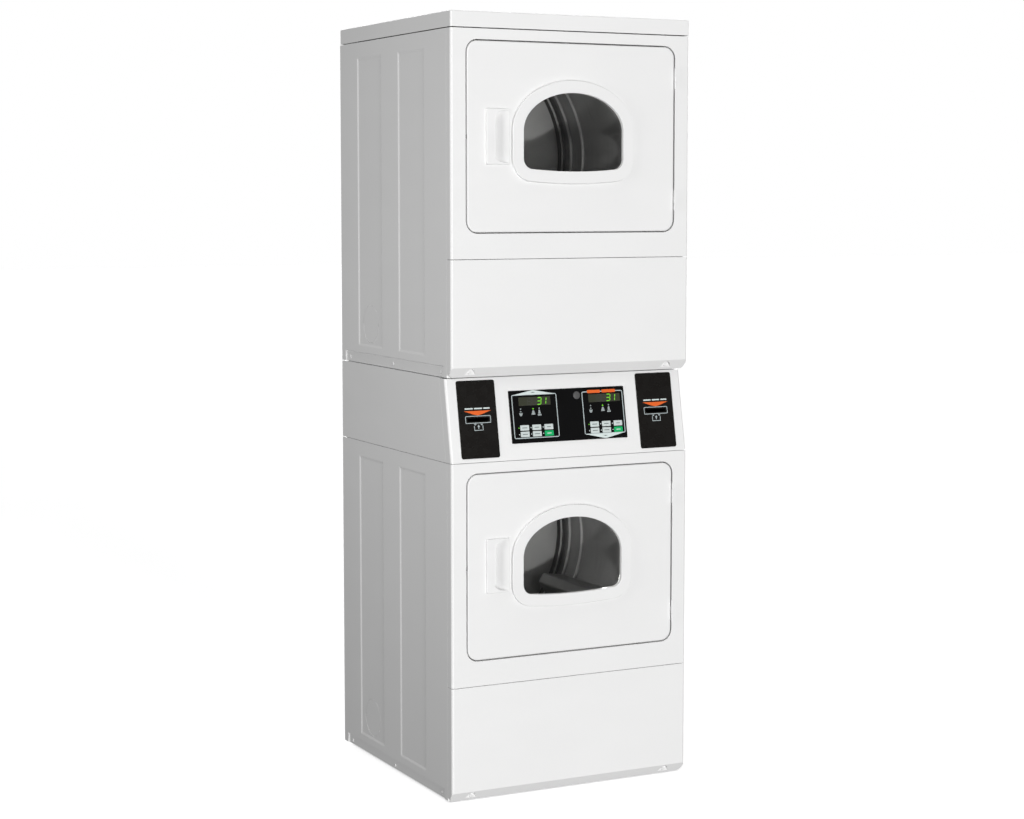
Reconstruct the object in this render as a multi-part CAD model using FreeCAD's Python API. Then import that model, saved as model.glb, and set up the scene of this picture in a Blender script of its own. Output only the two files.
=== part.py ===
"""Stacked pair of front-loading tumble dryers in one cabinet, with a shared console between them.

Frame: millimetres, +Z up, X to the right seen from the front, the doors face -Y.
The origin is on the floor, at the centre of the object's bounding box.
"""

import FreeCAD
import Part

import math
import os

from FreeCAD import Matrix, Placement, Rotation, Vector

# Overall size
WIDTH = 683.0
DEPTH = 711.0  # front panels to the rear edge of the sides
HEIGHT = 1985.0
PITCH = 1078.0  # from the lower dryer's base to the upper dryer's
RING_OUT = 8.0  # how far the door's window ring stands out of the front plane

HALF_W = WIDTH / 2
FRONT = -(DEPTH + RING_OUT) / 2 + RING_OUT
BACK = FRONT + DEPTH

# Sheet metal and clearances
SHEET = 1.2
GAP = 0.6  # half of the seam between two outer panels
RUNNING = 0.05  # radial clearance of a pin in its bore
CLEAR = 0.4  # between a turning piece and its fixed neighbour

# Heights of the outer panels above a dryer's base
ACCESS_TOP = 296.5
FRONT_TOP = 866.0
CONSOLE_TOP = 1076.5
SIDE_BOTTOM = {"lower": 4.0, "upper": 1.8}
ACCESS_BOTTOM = 2.0
TOP_SKIRT = 41.0
FRONT_RETURN = 24.0  # how far a front panel wraps round the side
EDGE_R = 6.0
SEAM_R = 0.8  # rounding of a panel's edge at a seam
SIDE_EDGE_R = 2.4  # bend at the front edge of a side panel
SIDE_RETURN = 15.0
LID_GAP = 2.4  # under the lid's skirt

# Toe bevel along the bottom of an access panel, and its two screw dimples
TOE_HEIGHT = 25.0
TOE_DEPTH = 20.0
TOE_CORNER_R = 14.0
DIMPLE_X = 283.5
DIMPLE_HALF = 18.0
DIMPLE_SEAT = 15.0
TOE_SCREW_Z = 13.0

# Door
DOOR_HALF_W = 297.3
DOOR_BOTTOM = 363.3
DOOR_TOP = 836.0
DOOR_R = 29.0
DOOR_DEPTH = 26.0
DOOR_GAP = 2.8
DOOR_EDGE_R = 4.0
WELL_DEPTH = 30.0
LEDGE_HALF_W = 212.0
LEDGE_BOTTOM = 413.0
LEDGE_TOP = 772.0
LEDGE_R = 70.0

# Window outline, a flat-bottomed D lying on its side
WINDOW_HALF_W = 143.0
WINDOW_SHOULDER = 617.0  # where the straight sides meet the half ellipse
WINDOW_RISE = 95.5
WINDOW_BOTTOM = 521.0
WINDOW_SAG = 5.5
WINDOW_R = 26.0
RING_WIDTH = 31.0
RING_EDGE_R = 1.6
GLASS_Y = 2.4
GLASS_THICK = 4.0
GLASS_LAP = 12.0

SEAL_INSET = 14.0
SEAL_WIDTH = 9.0

# Door liner dish, which fills the throat when the door is shut
DISH_HALF_W = 200.0
DISH_BOTTOM = 425.0
DISH_TOP = 760.0
DISH_R = 60.0
DISH_BACK = 52.0
DISH_DRAFT = 8.0
LINER_SHEET = 1.5
TUNNEL_FLARE = 18.0

# Handle
HANDLE_X = -212.7
HANDLE_HALF_W = 33.0
HANDLE_Z = 601.0
HANDLE_HALF_H = 69.0
HANDLE_OUT = 5.5
HANDLE_DEPTH = 16.0
LIP_WIDTH = 22.0
SCOOP_HALF_H = 63.5  # at its right end
SCOOP_CORNER = (36.0, 12.0)  # width and height of its sweeping left corners

# Hinges
HINGE_X = 299.0
HINGE_Y = FRONT - 3.8
HINGE_R = 3.4
HINGE_PIN_R = 1.8
HINGE_SPREAD = 156.0
HINGE_THIRD = 18.0
HINGE_PLAY = 0.5
CATCH_HALF_H = 5.0
LEAF = 0.8
LEAF_DEPTH = 22.0

# Drum and bulkheads
AXIS_Z = 565.0
DRUM_R = 316.0
DRUM_FRONT = FRONT + 80.0
DRUM_BACK = BACK - 75.0
BEAD_HEIGHT = 5.0
BEAD_HALF = 8.0
BEADS = (DRUM_FRONT + 70.0, DRUM_BACK - 118.0, DRUM_BACK - 48.0)
BAFFLE_HEIGHT = 68.0
BAFFLE_BASE = 84.0
BAFFLE_CREST = 30.0
BAFFLE_LENGTH = 470.0
BAFFLE_SHEET = 1.5
COLLAR_R = 305.0
COLLAR_REACH = 12.0
COLLAR_LIP = 4.0
FRONT_BULKHEAD_Y = FRONT + 66.0
REAR_BULKHEAD_Y = DRUM_BACK + 14.0
BULKHEAD_HALF_W = 340.2
BULKHEAD_BOTTOM = 215.0
BULKHEAD_TOP = 897.0
THROAT_R = 60.0

# Air path
FILTER_Y = FRONT + 55.3
FILTER_THICK = 7.4
FILTER_HALF_W = 172.0
FILTER_BOTTOM = 222.0
FILTER_TOP = 420.0
FILTER_TAB_TOP = 444.0
FILTER_RIM = 12.0
DUCT_FRONT = FRONT + 34.0
DUCT_BACK = FRONT + 54.6
DUCT_X = (-188.0, 236.0)
DUCT_BOTTOM = 60.0
DUCT_TOP = 409.0
FILTER_RAIL = 2.4
FILTER_PLAY = 0.6
FAN_X = 150.0
FAN_Z = 135.0
FAN_R = 92.0
SCROLL_R = 104.0
SCROLL_FOOT = 60.0
SCROLL_Y = (FRONT + 75.0, FRONT + 140.0)
INLET_R = 60.0
EXHAUST_Z = 95.0
EXHAUST_R = 50.8
EXHAUST_WALL = 1.0
HEATER_HALF_W = 150.0
HEATER_Z = (440.0, 700.0)
HEATER_DEPTH = 24.0

# Drive
SHAFT_R = 6.35
MOTOR_R = 62.0
MOTOR_Y = (FRONT + 160.0, FRONT + 262.0)
BELT_Y = FRONT + 280.0
BELT_WIDTH = 8.0
BELT_THICK = 2.0
PULLEY_R = 14.0
PULLEY_WIDTH = 14.0
ROLLER_R = 32.0
ROLLER_WIDTH = 20.0
ROLLER_Y = DRUM_BACK - 27.0
ROLLER_PIN_R = 6.0
ROLLER_ANGLE = 30.0  # either side of straight down
IDLER_PIVOT = (-165.0, 170.0)
IDLER_WHEEL = (-62.4, 209.0)
IDLER_R = 22.0
IDLER_PIN_R = 5.0
ARM_Y = FRONT + 289.0
ARM_THICK = 3.0

# Console, in its own slope: x across, s up the slope, n out of the face
CONSOLE_SETBACK = 40.0
CONSOLE_RETURN = 31.0
PLATE_X = 258.5
PLATE_HALF_W = 53.5
PLATE_S = (10.5, 207.5)
PLATE_R = 5.5
PLATE_THICK = 2.0
SLOT_HALF_W = 30.0
SLOT_S = 108.5
SLOT_HALF_H = 4.5
SLOT_DEPTH = 70.0
OVERLAY_HALF_W = 167.6
OVERLAY_S = (42.2, 176.8)
OVERLAY_R = 2.0
OVERLAY_THICK = 2.0
OVERLAY_MARGIN = 7.4
RECESS = 0.8
KEY_W = 25.2
KEY_H = 13.6
KEY_PITCH_X = 34.5
KEY_PITCH_S = 16.4
KEY_TOP_S = 81.0
KEY_THICK = 3.0
KEY_PROUD = 0.6
KEY_PLAY = 0.35
PANEL_X = {"upper": -94.8, "lower": 107.7}  # centre of each dryer's group of keys
LENS_X = 27.7
LENS_S = 158.0
LENS_R = 10.0

# Base, feet and rear
TRAY_HALF_W = 335.0
TRAY_HEIGHT = 28.0
TRAY_FRONT = FRONT + 40.0
TRAY_BACK = BACK - 26.0
TRAY_LIFT = {"lower": 8.0, "upper": 0.0}
LEG_X = 295.0
LEG_Y = (FRONT + 66.0, BACK - 60.0)
LEG_PAD_R = 19.0
LEG_PAD = 7.0
LEG_STEM_R = 4.75
LEG_STEM_TOP = 46.0
REAR_Y = BACK - 32.0
REAR_HALF_W = 338.0
REAR_FLANGE = 20.0
REAR_BOTTOM = 38.0
TERMINAL = (150.0, 250.0, 700.0, 800.0)
POWER_INLET_R = 14.3

# Embossed side panels
EMBOSS_Y = ((FRONT + 158.0, FRONT + 321.0), (FRONT + 430.0, FRONT + 592.0))
EMBOSS_Z = (49.0, 825.0)
EMBOSS_DEPTH = 2.0
EMBOSS_DRAFT = 6.0
VENT_Y = FRONT + 511.0
VENT_Z = 111.0
VENT_R = 51.0
FOOT_FLANGE = (FRONT + 45.0, BACK - 26.0, 31.0)
FOOT_FLANGE_DEPTH = 3.5
FOOT_FLANGE_DRAFT = 2.5
FOOT_SCREW_Y = (FRONT + 67.5, FRONT + 365.0, FRONT + 659.0)
FOOT_SCREW_Z = 14.0
SCREW_R = 2.0
SCREW_HEAD_R = 4.6
SCREW_HEAD = 2.2
SCREW_LENGTH = 9.0

UNITS = {"lower": 0.0, "upper": PITCH}
UNIT_TOP = {"lower": CONSOLE_TOP, "upper": HEIGHT - TOP_SKIRT - GAP}


# ---------------------------------------------------------------- helpers


def box(x0, x1, y0, y1, z0, z1):
    return Part.makeBox(x1 - x0, y1 - y0, z1 - z0, Vector(x0, y0, z0))


def edges_along(shape, direction):
    """Straight edges of shape that run parallel to direction."""
    found = []
    for edge in shape.Edges:
        if edge.Curve.TypeId == "Part::GeomLine":
            if abs(abs(edge.Curve.Direction.dot(direction)) - 1) < 1e-6:
                found.append(edge)
    return found


def edges_on(shape, axis, value):
    """Edges of shape that lie wholly in the plane where coordinate axis (0, 1 or 2) is value."""
    found = []
    for edge in shape.Edges:
        box_ = edge.BoundBox
        low = (box_.XMin, box_.YMin, box_.ZMin)[axis]
        high = (box_.XMax, box_.YMax, box_.ZMax)[axis]
        if abs(low - value) < 1e-4 and abs(high - value) < 1e-4:
            found.append(edge)
    return found


def rounded(x0, x1, y0, y1, z0, z1, radius, axis=Vector(0, 1, 0)):
    """A box whose four edges along axis are rounded."""
    block = box(x0, x1, y0, y1, z0, z1)
    return block.makeFillet(radius, edges_along(block, axis))


def front_pan(x0, x1, y0, y1, z0, z1, corner, edge, sheet=SHEET):
    """A pressed panel whose face is at y0, with returns to y1, open at the back."""
    outer = rounded(x0, x1, y0, y1, z0, z1, corner)
    outer = outer.makeFillet(edge, edges_on(outer, 1, y0))
    t = sheet
    inner = rounded(x0 + t, x1 - t, y0 + t, y1 + 1, z0 + t, z1 - t, corner - t)
    inner = inner.makeFillet(edge - t, edges_on(inner, 1, y0 + t))
    return outer.cut(inner)


def wrapped_block(x0, x1, y0, y1, z0, z1, radius):
    """A block whose two upright edges in front are rounded."""
    block = box(x0, x1, y0, y1, z0, z1)
    upright = [e for e in edges_along(block, Vector(0, 0, 1)) if e.BoundBox.YMax < y0 + 1e-3]
    return block.makeFillet(radius, upright)


def tube_y(x, z, radius, y0, y1, bore=None):
    """A rod along Y, or a tube where bore is given."""
    rod = Part.makeCylinder(radius, y1 - y0, Vector(x, y0, z), Vector(0, 1, 0))
    if bore is None:
        return rod
    return rod.cut(Part.makeCylinder(bore, y1 - y0, Vector(x, y0, z), Vector(0, 1, 0)))


def post_z(x, y, radius, z0, z1, bore=None):
    """A rod along Z, or a tube where bore is given."""
    rod = Part.makeCylinder(radius, z1 - z0, Vector(x, y, z0))
    if bore is None:
        return rod
    return rod.cut(Part.makeCylinder(bore, z1 - z0, Vector(x, y, z0)))


def prism(points, along):
    """Extrudes the closed polygon through points."""
    wire = Part.makePolygon([*points, points[0]])
    return Part.Face(wire).extrude(along)


def fused(shapes):
    whole = shapes[0].multiFuse(shapes[1:]) if len(shapes) > 1 else shapes[0]
    return whole.removeSplitter()


def save(name, *solids):
    """Writes the solids as one node."""
    shape = solids[0] if len(solids) == 1 else Part.makeCompound(list(solids))
    shape.exportStep(os.path.join("parts", name + ".step"))
    problem = "" if shape.isValid() else "  NOT VALID"
    print(f"{name}: {len(shape.Solids)} solids, {shape.Volume / 1e3:.1f} cm3{problem}")


def screw(point, outward):
    """A pan-head screw whose head sits on point and faces outward."""
    head = Part.makeCylinder(SCREW_HEAD_R, SCREW_HEAD)
    head = head.makeFillet(1.2, edges_on(head, 2, SCREW_HEAD))
    for angle in (0, 90):
        slot = Part.makeBox(6, 1.1, 1.2, Vector(-3, -0.55, SCREW_HEAD - 1.0))
        head = head.cut(slot.rotate(Vector(), Vector(0, 0, 1), angle))
    shank = Part.makeCylinder(SCREW_R, SCREW_LENGTH, Vector(0, 0, -SCREW_LENGTH))
    whole = head.fuse(shank)
    whole.Placement = Placement(point, Rotation(Vector(0, 0, 1), outward))
    return whole


def drilled(shape, sites):
    """shape with a clearance hole for the screw at each (point, outward) site."""
    for point, outward in sites:
        start = point + outward * 3
        tool = Part.makeCylinder(SCREW_R + 0.2, SCREW_LENGTH + 5, start, outward.negative())
        shape = shape.cut(tool)
    return shape


# ---------------------------------------------------------------- cabinet


def foot_sites(base):
    """Where the screws go along the foot of both side panels of one dryer."""
    surface = HALF_W - FOOT_FLANGE_DEPTH
    return {
        side: [
            (Vector(side * surface, y, base + FOOT_SCREW_Z), Vector(side, 0, 0))
            for y in FOOT_SCREW_Y
        ]
        for side in (-1, 1)
    }


def toe_sites(base):
    return [
        (Vector(x, FRONT + DIMPLE_SEAT, base + TOE_SCREW_Z), Vector(0, -1, 0))
        for x in (-DIMPLE_X, DIMPLE_X)
    ]


def rear_sites(unit):
    base, top = UNITS[unit], UNIT_TOP[unit]
    low, high = base + 60, top - 30
    heights = [low + (high - low) * i / 3 for i in range(4)]
    return [
        (Vector(side * (REAR_HALF_W - 10), REAR_Y + SHEET, z), Vector(0, 1, 0))
        for side in (-1, 1)
        for z in heights
    ]


def pocket(y0, y1, z0, z1, depth, draft, grow):
    """A sunken panel pressed in from x = 0 towards +X, grown on all sides by grow."""
    wires = []
    for x, d in ((0, -grow), (depth + grow, draft - grow)):
        corners = ((y0 + d, z0 + d), (y1 - d, z0 + d), (y1 - d, z1 - d), (y0 + d, z1 - d))
        points = [Vector(x, y, z) for y, z in corners]
        wires.append(Part.makePolygon([*points, points[0]]))
    return Part.makeLoft(wires, True, True)


def side_panel(unit, top):
    """The left side panel, sunken and flanged inwards. Its outer face is x = -HALF_W."""
    base = UNITS[unit]
    y0 = FRONT + FRONT_RETURN + GAP
    z0, z1 = base + SIDE_BOTTOM[unit], top
    plate = box(0, SHEET, y0, BACK, z0, z1)
    front_return = box(0, SIDE_RETURN, y0, y0 + SHEET, z0, z1)
    rear_return = box(0, REAR_FLANGE, REAR_Y - SHEET, REAR_Y, z0 + 40, z1)
    hem = box(0, 2.5 * SHEET, BACK - SHEET, BACK, z0 + 40, z1)
    head_return = box(0, 12, y0, REAR_Y - SHEET, z1 - SHEET, z1)
    plate = fused([plate, front_return, rear_return, hem, head_return])
    bend = [e for e in edges_on(plate, 0, 0) if abs(e.BoundBox.YMax - y0) < 1e-3]
    plate = plate.makeFillet(SIDE_EDGE_R, bend)
    flange_y0, flange_y1, flange_z = FOOT_FLANGE
    sunk = [(flange_y0, flange_y1, z0 - 30, base + flange_z, FOOT_FLANGE_DEPTH, FOOT_FLANGE_DRAFT)]
    for y_low, y_high in EMBOSS_Y:
        sunk.append((y_low, y_high, base + EMBOSS_Z[0], base + EMBOSS_Z[1], EMBOSS_DEPTH, EMBOSS_DRAFT))
    room = box(0, 20, y0, BACK, z0, z1)
    for shape in sunk:
        plate = plate.fuse(pocket(*shape, SHEET).common(room))
    for shape in sunk:
        plate = plate.cut(pocket(*shape, 0))
    groove = Part.makeTorus(VENT_R, 1.0, Vector(EMBOSS_DEPTH, VENT_Y, base + VENT_Z), Vector(1, 0, 0))
    plate = plate.cut(groove)
    return plate.translated(Vector(-HALF_W, 0, 0))


def mirrored(shape):
    return shape.mirror(Vector(), Vector(1, 0, 0))


def side_panels(unit, top):
    left = side_panel(unit, top)
    sites = foot_sites(UNITS[unit])
    back = rear_sites(unit)
    return drilled(left, sites[-1] + back), drilled(mirrored(left), sites[1] + back)


def console_side():
    """Left side of the console bay, with a front edge that follows the console's slope."""
    z0, z1 = FRONT_TOP + GAP, PITCH
    y0 = FRONT + CONSOLE_RETURN + GAP
    lean = CONSOLE_SETBACK
    outline = [
        Vector(-HALF_W, y0, z0),
        Vector(-HALF_W, BACK, z0),
        Vector(-HALF_W, BACK, z1),
        Vector(-HALF_W, y0 + lean, z1),
    ]
    plate = prism(outline, Vector(SHEET, 0, 0))
    slant = [outline[0], outline[0] + Vector(0, SHEET, 0), outline[3] + Vector(0, SHEET, 0), outline[3]]
    plate = fused([plate, prism(slant, Vector(SIDE_RETURN, 0, 0))])
    bend = [e for e in edges_on(plate, 0, -HALF_W) if e.BoundBox.YMax < y0 + lean + 1e-3]
    plate = plate.makeFillet(SIDE_EDGE_R, bend)
    rear_return = box(-HALF_W, -HALF_W + REAR_FLANGE, REAR_Y - SHEET, REAR_Y, z0, z1)
    hem = box(-HALF_W, -HALF_W + 2.5 * SHEET, BACK - SHEET, BACK, z0, z1)
    foot_return = box(-HALF_W, -HALF_W + 12, y0 + 20, REAR_Y - SHEET, z0, z0 + SHEET)
    head_return = box(-HALF_W, -HALF_W + 24, y0 + lean + 20, REAR_Y - SHEET, z1 - SHEET, z1)
    return fused([plate, rear_return, hem, foot_return, head_return])


def base_frame(unit):
    """A shallow tray that carries one dryer."""
    base = UNITS[unit] + TRAY_LIFT[unit]
    t = SHEET + 0.3
    half = TRAY_HALF_W
    top = base + TRAY_HEIGHT
    tray = box(-half, half, TRAY_FRONT, TRAY_BACK, base, top)
    tray = tray.cut(box(t - half, half - t, TRAY_FRONT + t, TRAY_BACK - t, base + t, top))
    for sites in foot_sites(UNITS[unit]).values():
        tray = drilled(tray, sites)
    if unit == "lower":
        for x in (-LEG_X, LEG_X):
            for y in LEG_Y:
                tray = tray.cut(post_z(x, y, LEG_STEM_R + 0.5, base - 1, base + t + 1))
    return tray


def levelling_legs():
    """Four screw-in feet, each with its weld nut."""
    solids = []
    nut_z = TRAY_LIFT["lower"] + SHEET + 0.3
    for x in (-LEG_X, LEG_X):
        for y in LEG_Y:
            pad = post_z(x, y, LEG_PAD_R, 0, LEG_PAD)
            pad = pad.makeFillet(1.5, edges_on(pad, 2, LEG_PAD))
            stem = post_z(x, y, LEG_STEM_R, LEG_PAD, LEG_STEM_TOP)
            solids.append(pad.fuse(stem))
            corners = [
                Vector(x + 9.2 * math.cos(a), y + 9.2 * math.sin(a), nut_z)
                for a in (math.radians(60 * i) for i in range(6))
            ]
            nut = prism(corners, Vector(0, 0, 8))
            solids.append(nut.cut(post_z(x, y, LEG_STEM_R + RUNNING, nut_z - 1, nut_z + 9)))
    return solids


def top_panel():
    """The lid: a pan turned upside down."""
    z0, z1 = HEIGHT - TOP_SKIRT - GAP + LID_GAP, HEIGHT
    t = SHEET
    outer = rounded(-HALF_W, HALF_W, FRONT, BACK, z0, z1, 4, Vector(0, 0, 1))
    outer = outer.makeFillet(3, edges_on(outer, 2, z1))
    inner = rounded(-HALF_W + t, HALF_W - t, FRONT + t, BACK - t, z0 - 1, z1 - t, 4 - t, Vector(0, 0, 1))
    inner = inner.makeFillet(3 - t, edges_on(inner, 2, z1 - t))
    return outer.cut(inner)


def ledge_opening(base, grow, y0, y1):
    """The opening in the door well's ledge, grown outwards by grow."""
    half = LEDGE_HALF_W + grow
    z0, z1 = base + LEDGE_BOTTOM - grow, base + LEDGE_TOP + grow
    return rounded(-half, half, y0, y1, z0, z1, LEDGE_R + grow)


def front_edges(block, z):
    """The edges of a wrapped block's top or bottom, except the one at its back."""
    rim = edges_on(block, 2, z)
    back = block.BoundBox.YMax
    return [e for e in rim if e.BoundBox.YMin < back - 1e-3]


def front_panel(base):
    """The frame round the door: a pan with a well for the door and a ledge behind it."""
    z0, z1 = base + ACCESS_TOP + GAP, base + FRONT_TOP - GAP
    if base:
        z1 = HEIGHT - TOP_SKIRT - GAP
    t = SHEET
    y1 = FRONT + FRONT_RETURN
    outer = wrapped_block(-HALF_W, HALF_W, FRONT, y1, z0, z1, EDGE_R)
    outer = outer.makeFillet(SEAM_R, front_edges(outer, z0) + front_edges(outer, z1))
    shell = outer.cut(wrapped_block(-HALF_W + t, HALF_W - t, FRONT + t, y1 + 1, z0 + t, z1 - t, EDGE_R - t))
    half = DOOR_HALF_W + DOOR_GAP
    low, high = base + DOOR_BOTTOM - DOOR_GAP, base + DOOR_TOP + DOOR_GAP
    radius = DOOR_R + DOOR_GAP
    back = FRONT + WELL_DEPTH
    wall = rounded(-half - t, half + t, FRONT + 0.01, back + t, low - t, high + t, radius + t)
    shell = shell.fuse(wall)
    shell = shell.cut(rounded(-half, half, FRONT - 1, back, low, high, radius))
    shell = shell.cut(ledge_opening(base, 0, back - 1, back + t + 1))
    lip = [e for e in edges_on(shell, 1, FRONT) if abs(e.BoundBox.Center.x) < half + 1]
    lip = [e for e in lip if low - 1 < e.BoundBox.Center.z < high + 1]
    return shell.makeFillet(0.9, lip)


def arch(x, z0, half, height, y0, y1):
    """A pointed-top arch lying in the XZ plane, extruded from y0 to y1."""
    left, right = Vector(x - half, y0, z0), Vector(x + half, y0, z0)
    left_shoulder = Vector(x - half * 0.58, y0, z0 + height * 0.62)
    right_shoulder = Vector(x + half * 0.58, y0, z0 + height * 0.62)
    crown = Vector(x, y0, z0 + height)
    outline = [
        Part.LineSegment(left, left_shoulder),
        Part.Arc(left_shoulder, crown, right_shoulder),
        Part.LineSegment(right_shoulder, right),
        Part.LineSegment(right, left),
    ]
    wire = Part.Wire([piece.toShape() for piece in outline])
    return Part.Face(wire).extrude(Vector(0, y1 - y0, 0))


def toe_wedge(base, inset):
    """The material in front of the toe bevel, moved inwards by inset."""
    slope = math.hypot(TOE_HEIGHT, TOE_DEPTH)
    shift = inset * slope / TOE_HEIGHT
    z_low = base + ACCESS_BOTTOM
    y_low = FRONT + TOE_DEPTH + shift
    run = 1.5 * TOE_DEPTH
    rise = 1.5 * TOE_HEIGHT
    points = [
        Vector(-HALF_W - 1, y_low + TOE_DEPTH * 0.5, z_low - TOE_HEIGHT * 0.5),
        Vector(-HALF_W - 1, y_low - run, z_low + rise),
        Vector(-HALF_W - 1, FRONT - 40, z_low + rise),
        Vector(-HALF_W - 1, FRONT - 40, z_low - TOE_HEIGHT * 0.5),
    ]
    return prism(points, Vector(WIDTH + 2, 0, 0))


def toe_block(x0, x1, y0, y1, z0, z1, inset):
    """A block with rounded front uprights and large lower corners, inset from the outer one."""
    block = box(x0, x1, y0, y1, z0, z1)
    lower = [e for e in edges_along(block, Vector(0, 1, 0)) if e.BoundBox.ZMax < z0 + 1e-3]
    block = block.makeFillet(TOE_CORNER_R - inset, lower)
    upright = [e for e in edges_along(block, Vector(0, 0, 1)) if e.BoundBox.YMax < y0 + 1e-3]
    return block.makeFillet(EDGE_R - inset, upright)


def access_panel(base):
    """The lower service panel, with a toe bevel and two screw dimples."""
    z0, z1 = base + ACCESS_BOTTOM, base + ACCESS_TOP - GAP
    y1 = FRONT + FRONT_RETURN
    t = SHEET
    outer = toe_block(-HALF_W, HALF_W, FRONT, y1, z0, z1, 0)
    outer = outer.makeFillet(SEAM_R, front_edges(outer, z1)).cut(toe_wedge(base, 0))
    inner = toe_block(-HALF_W + t, HALF_W - t, FRONT + t, y1 + 1, z0 + t, z1 - t, t)
    inner = inner.cut(toe_wedge(base, t))
    shell = outer.cut(inner)
    for x in (-DIMPLE_X, DIMPLE_X):
        seat = arch(x, z0 + 1.0, DIMPLE_HALF + t, TOE_HEIGHT - 4.0 + t, FRONT, FRONT + DIMPLE_SEAT + t)
        hollow = arch(x, z0 + 2.2, DIMPLE_HALF, TOE_HEIGHT - 5.2, FRONT - 1, FRONT + DIMPLE_SEAT)
        shell = shell.fuse(seat.common(outer)).cut(hollow)
    return drilled(shell, toe_sites(base))


def rear_panel(unit):
    """Back cover with louvre slots, a terminal cut-out and a hole for the exhaust."""
    base, top = UNITS[unit], UNIT_TOP[unit]
    y0, y1 = REAR_Y, REAR_Y + SHEET
    z0 = base + REAR_BOTTOM
    cover = box(-REAR_HALF_W, REAR_HALF_W, y0, y1, z0, top - 3)
    for side in (-1, 1):
        x0, x1 = sorted((side * REAR_HALF_W, side * (REAR_HALF_W - SHEET)))
        cover = cover.fuse(box(x0, x1, y1, y1 + 10, z0, top - 3))
    cover = cover.cut(tube_y(0, base + EXHAUST_Z, EXHAUST_R + 3, y0 - 1, y1 + 1))
    for column in (-240, -80, 80):
        for row in range(7):
            z = base + 210 + row * 26
            cover = cover.cut(rounded(column, column + 110, y0 - 1, y1 + 1, z, z + 7, 3.4))
    x0, x1, zt0, zt1 = TERMINAL
    cover = cover.cut(box(x0 + 12, x1 - 12, y0 - 1, y1 + 1, base + zt0 + 12, base + zt1 - 12))
    return drilled(cover, rear_sites(unit) + terminal_screws(base))


def terminal_plate(base):
    """The small cover over the supply terminals, with the cord's knockout."""
    x0, x1, z0, z1 = TERMINAL
    y0 = REAR_Y + SHEET
    plate = rounded(x0, x1, y0, y0 + SHEET, base + z0, base + z1, 6)
    return plate.cut(tube_y((x0 + x1) / 2, base + z0 + 34, POWER_INLET_R, y0 - 1, y0 + 3))


def terminal_screws(base):
    x0, x1, z0, z1 = TERMINAL
    return [
        (Vector(x, REAR_Y + 2 * SHEET, base + (z0 + z1) / 2), Vector(0, 1, 0))
        for x in (x0 + 6, x1 - 6)
    ]


# ---------------------------------------------------------------- doors


def window_wire(base, grow, y):
    """The window outline in the plane y, grown outwards by grow."""
    half = WINDOW_HALF_W + grow
    radius = WINDOW_R + grow
    shoulder = base + WINDOW_SHOULDER
    bottom = base + WINDOW_BOTTOM - grow
    bend = radius * (1 - math.sqrt(0.5))
    centre = Vector(0, y, shoulder)
    rise = Vector(0, 0, WINDOW_RISE + grow)
    ellipse = Part.Ellipse(centre + Vector(half, 0, 0), centre + rise, centre)
    crown = Part.ArcOfEllipse(ellipse, 0, math.pi).toShape()
    edges = [crown]
    for side in (-1, 1):
        hip = Vector(side * half, y, bottom + radius)
        knee = Vector(side * (half - bend), y, bottom + bend)
        toe = Vector(side * (half - radius), y, bottom)
        edges.append(Part.LineSegment(Vector(side * half, y, shoulder), hip).toShape())
        edges.append(Part.Arc(hip, knee, toe).toShape())
    left, right = Vector(radius - half, y, bottom), Vector(half - radius, y, bottom)
    edges.append(Part.Arc(left, Vector(0, y, bottom - WINDOW_SAG), right).toShape())
    return Part.Wire(Part.__sortEdges__(edges))


def window_prism(base, grow, y0, y1):
    return Part.Face(window_wire(base, grow, y0)).extrude(Vector(0, y1 - y0, 0))


def door_outer_panel(base):
    """The pressed door skin with a raised ring round its window."""
    t = SHEET
    skin = front_pan(
        -DOOR_HALF_W,
        DOOR_HALF_W,
        FRONT,
        FRONT + DOOR_DEPTH,
        base + DOOR_BOTTOM,
        base + DOOR_TOP,
        DOOR_R,
        DOOR_EDGE_R,
    )
    face = FRONT - RING_OUT
    ring = window_prism(base, RING_WIDTH, face, FRONT + t)
    ring = ring.makeFillet(RING_EDGE_R, edges_on(ring, 1, face))
    skin = skin.fuse(ring)
    hollow = window_prism(base, RING_WIDTH - RING_EDGE_R, face + t, FRONT + t + 1)
    web = window_prism(base, 2.4, face, FRONT + t + 1)
    skin = skin.cut(hollow.cut(web))
    rim = window_prism(base, 2.4, FRONT, FRONT + GLASS_Y)
    skin = skin.fuse(rim).cut(window_prism(base, 0, face - 1, FRONT + GLASS_Y + 1))
    skin = skin.makeFillet(1.1, edges_on(skin, 1, face))
    x0, x1 = HANDLE_X - HANDLE_HALF_W + 3, HANDLE_X + HANDLE_HALF_W - 3
    low, high = base + HANDLE_Z - HANDLE_HALF_H + 3, base + HANDLE_Z + HANDLE_HALF_H - 3
    return skin.cut(rounded(x0, x1, FRONT - 1, FRONT + t + 1, low, high, 3))


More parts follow.
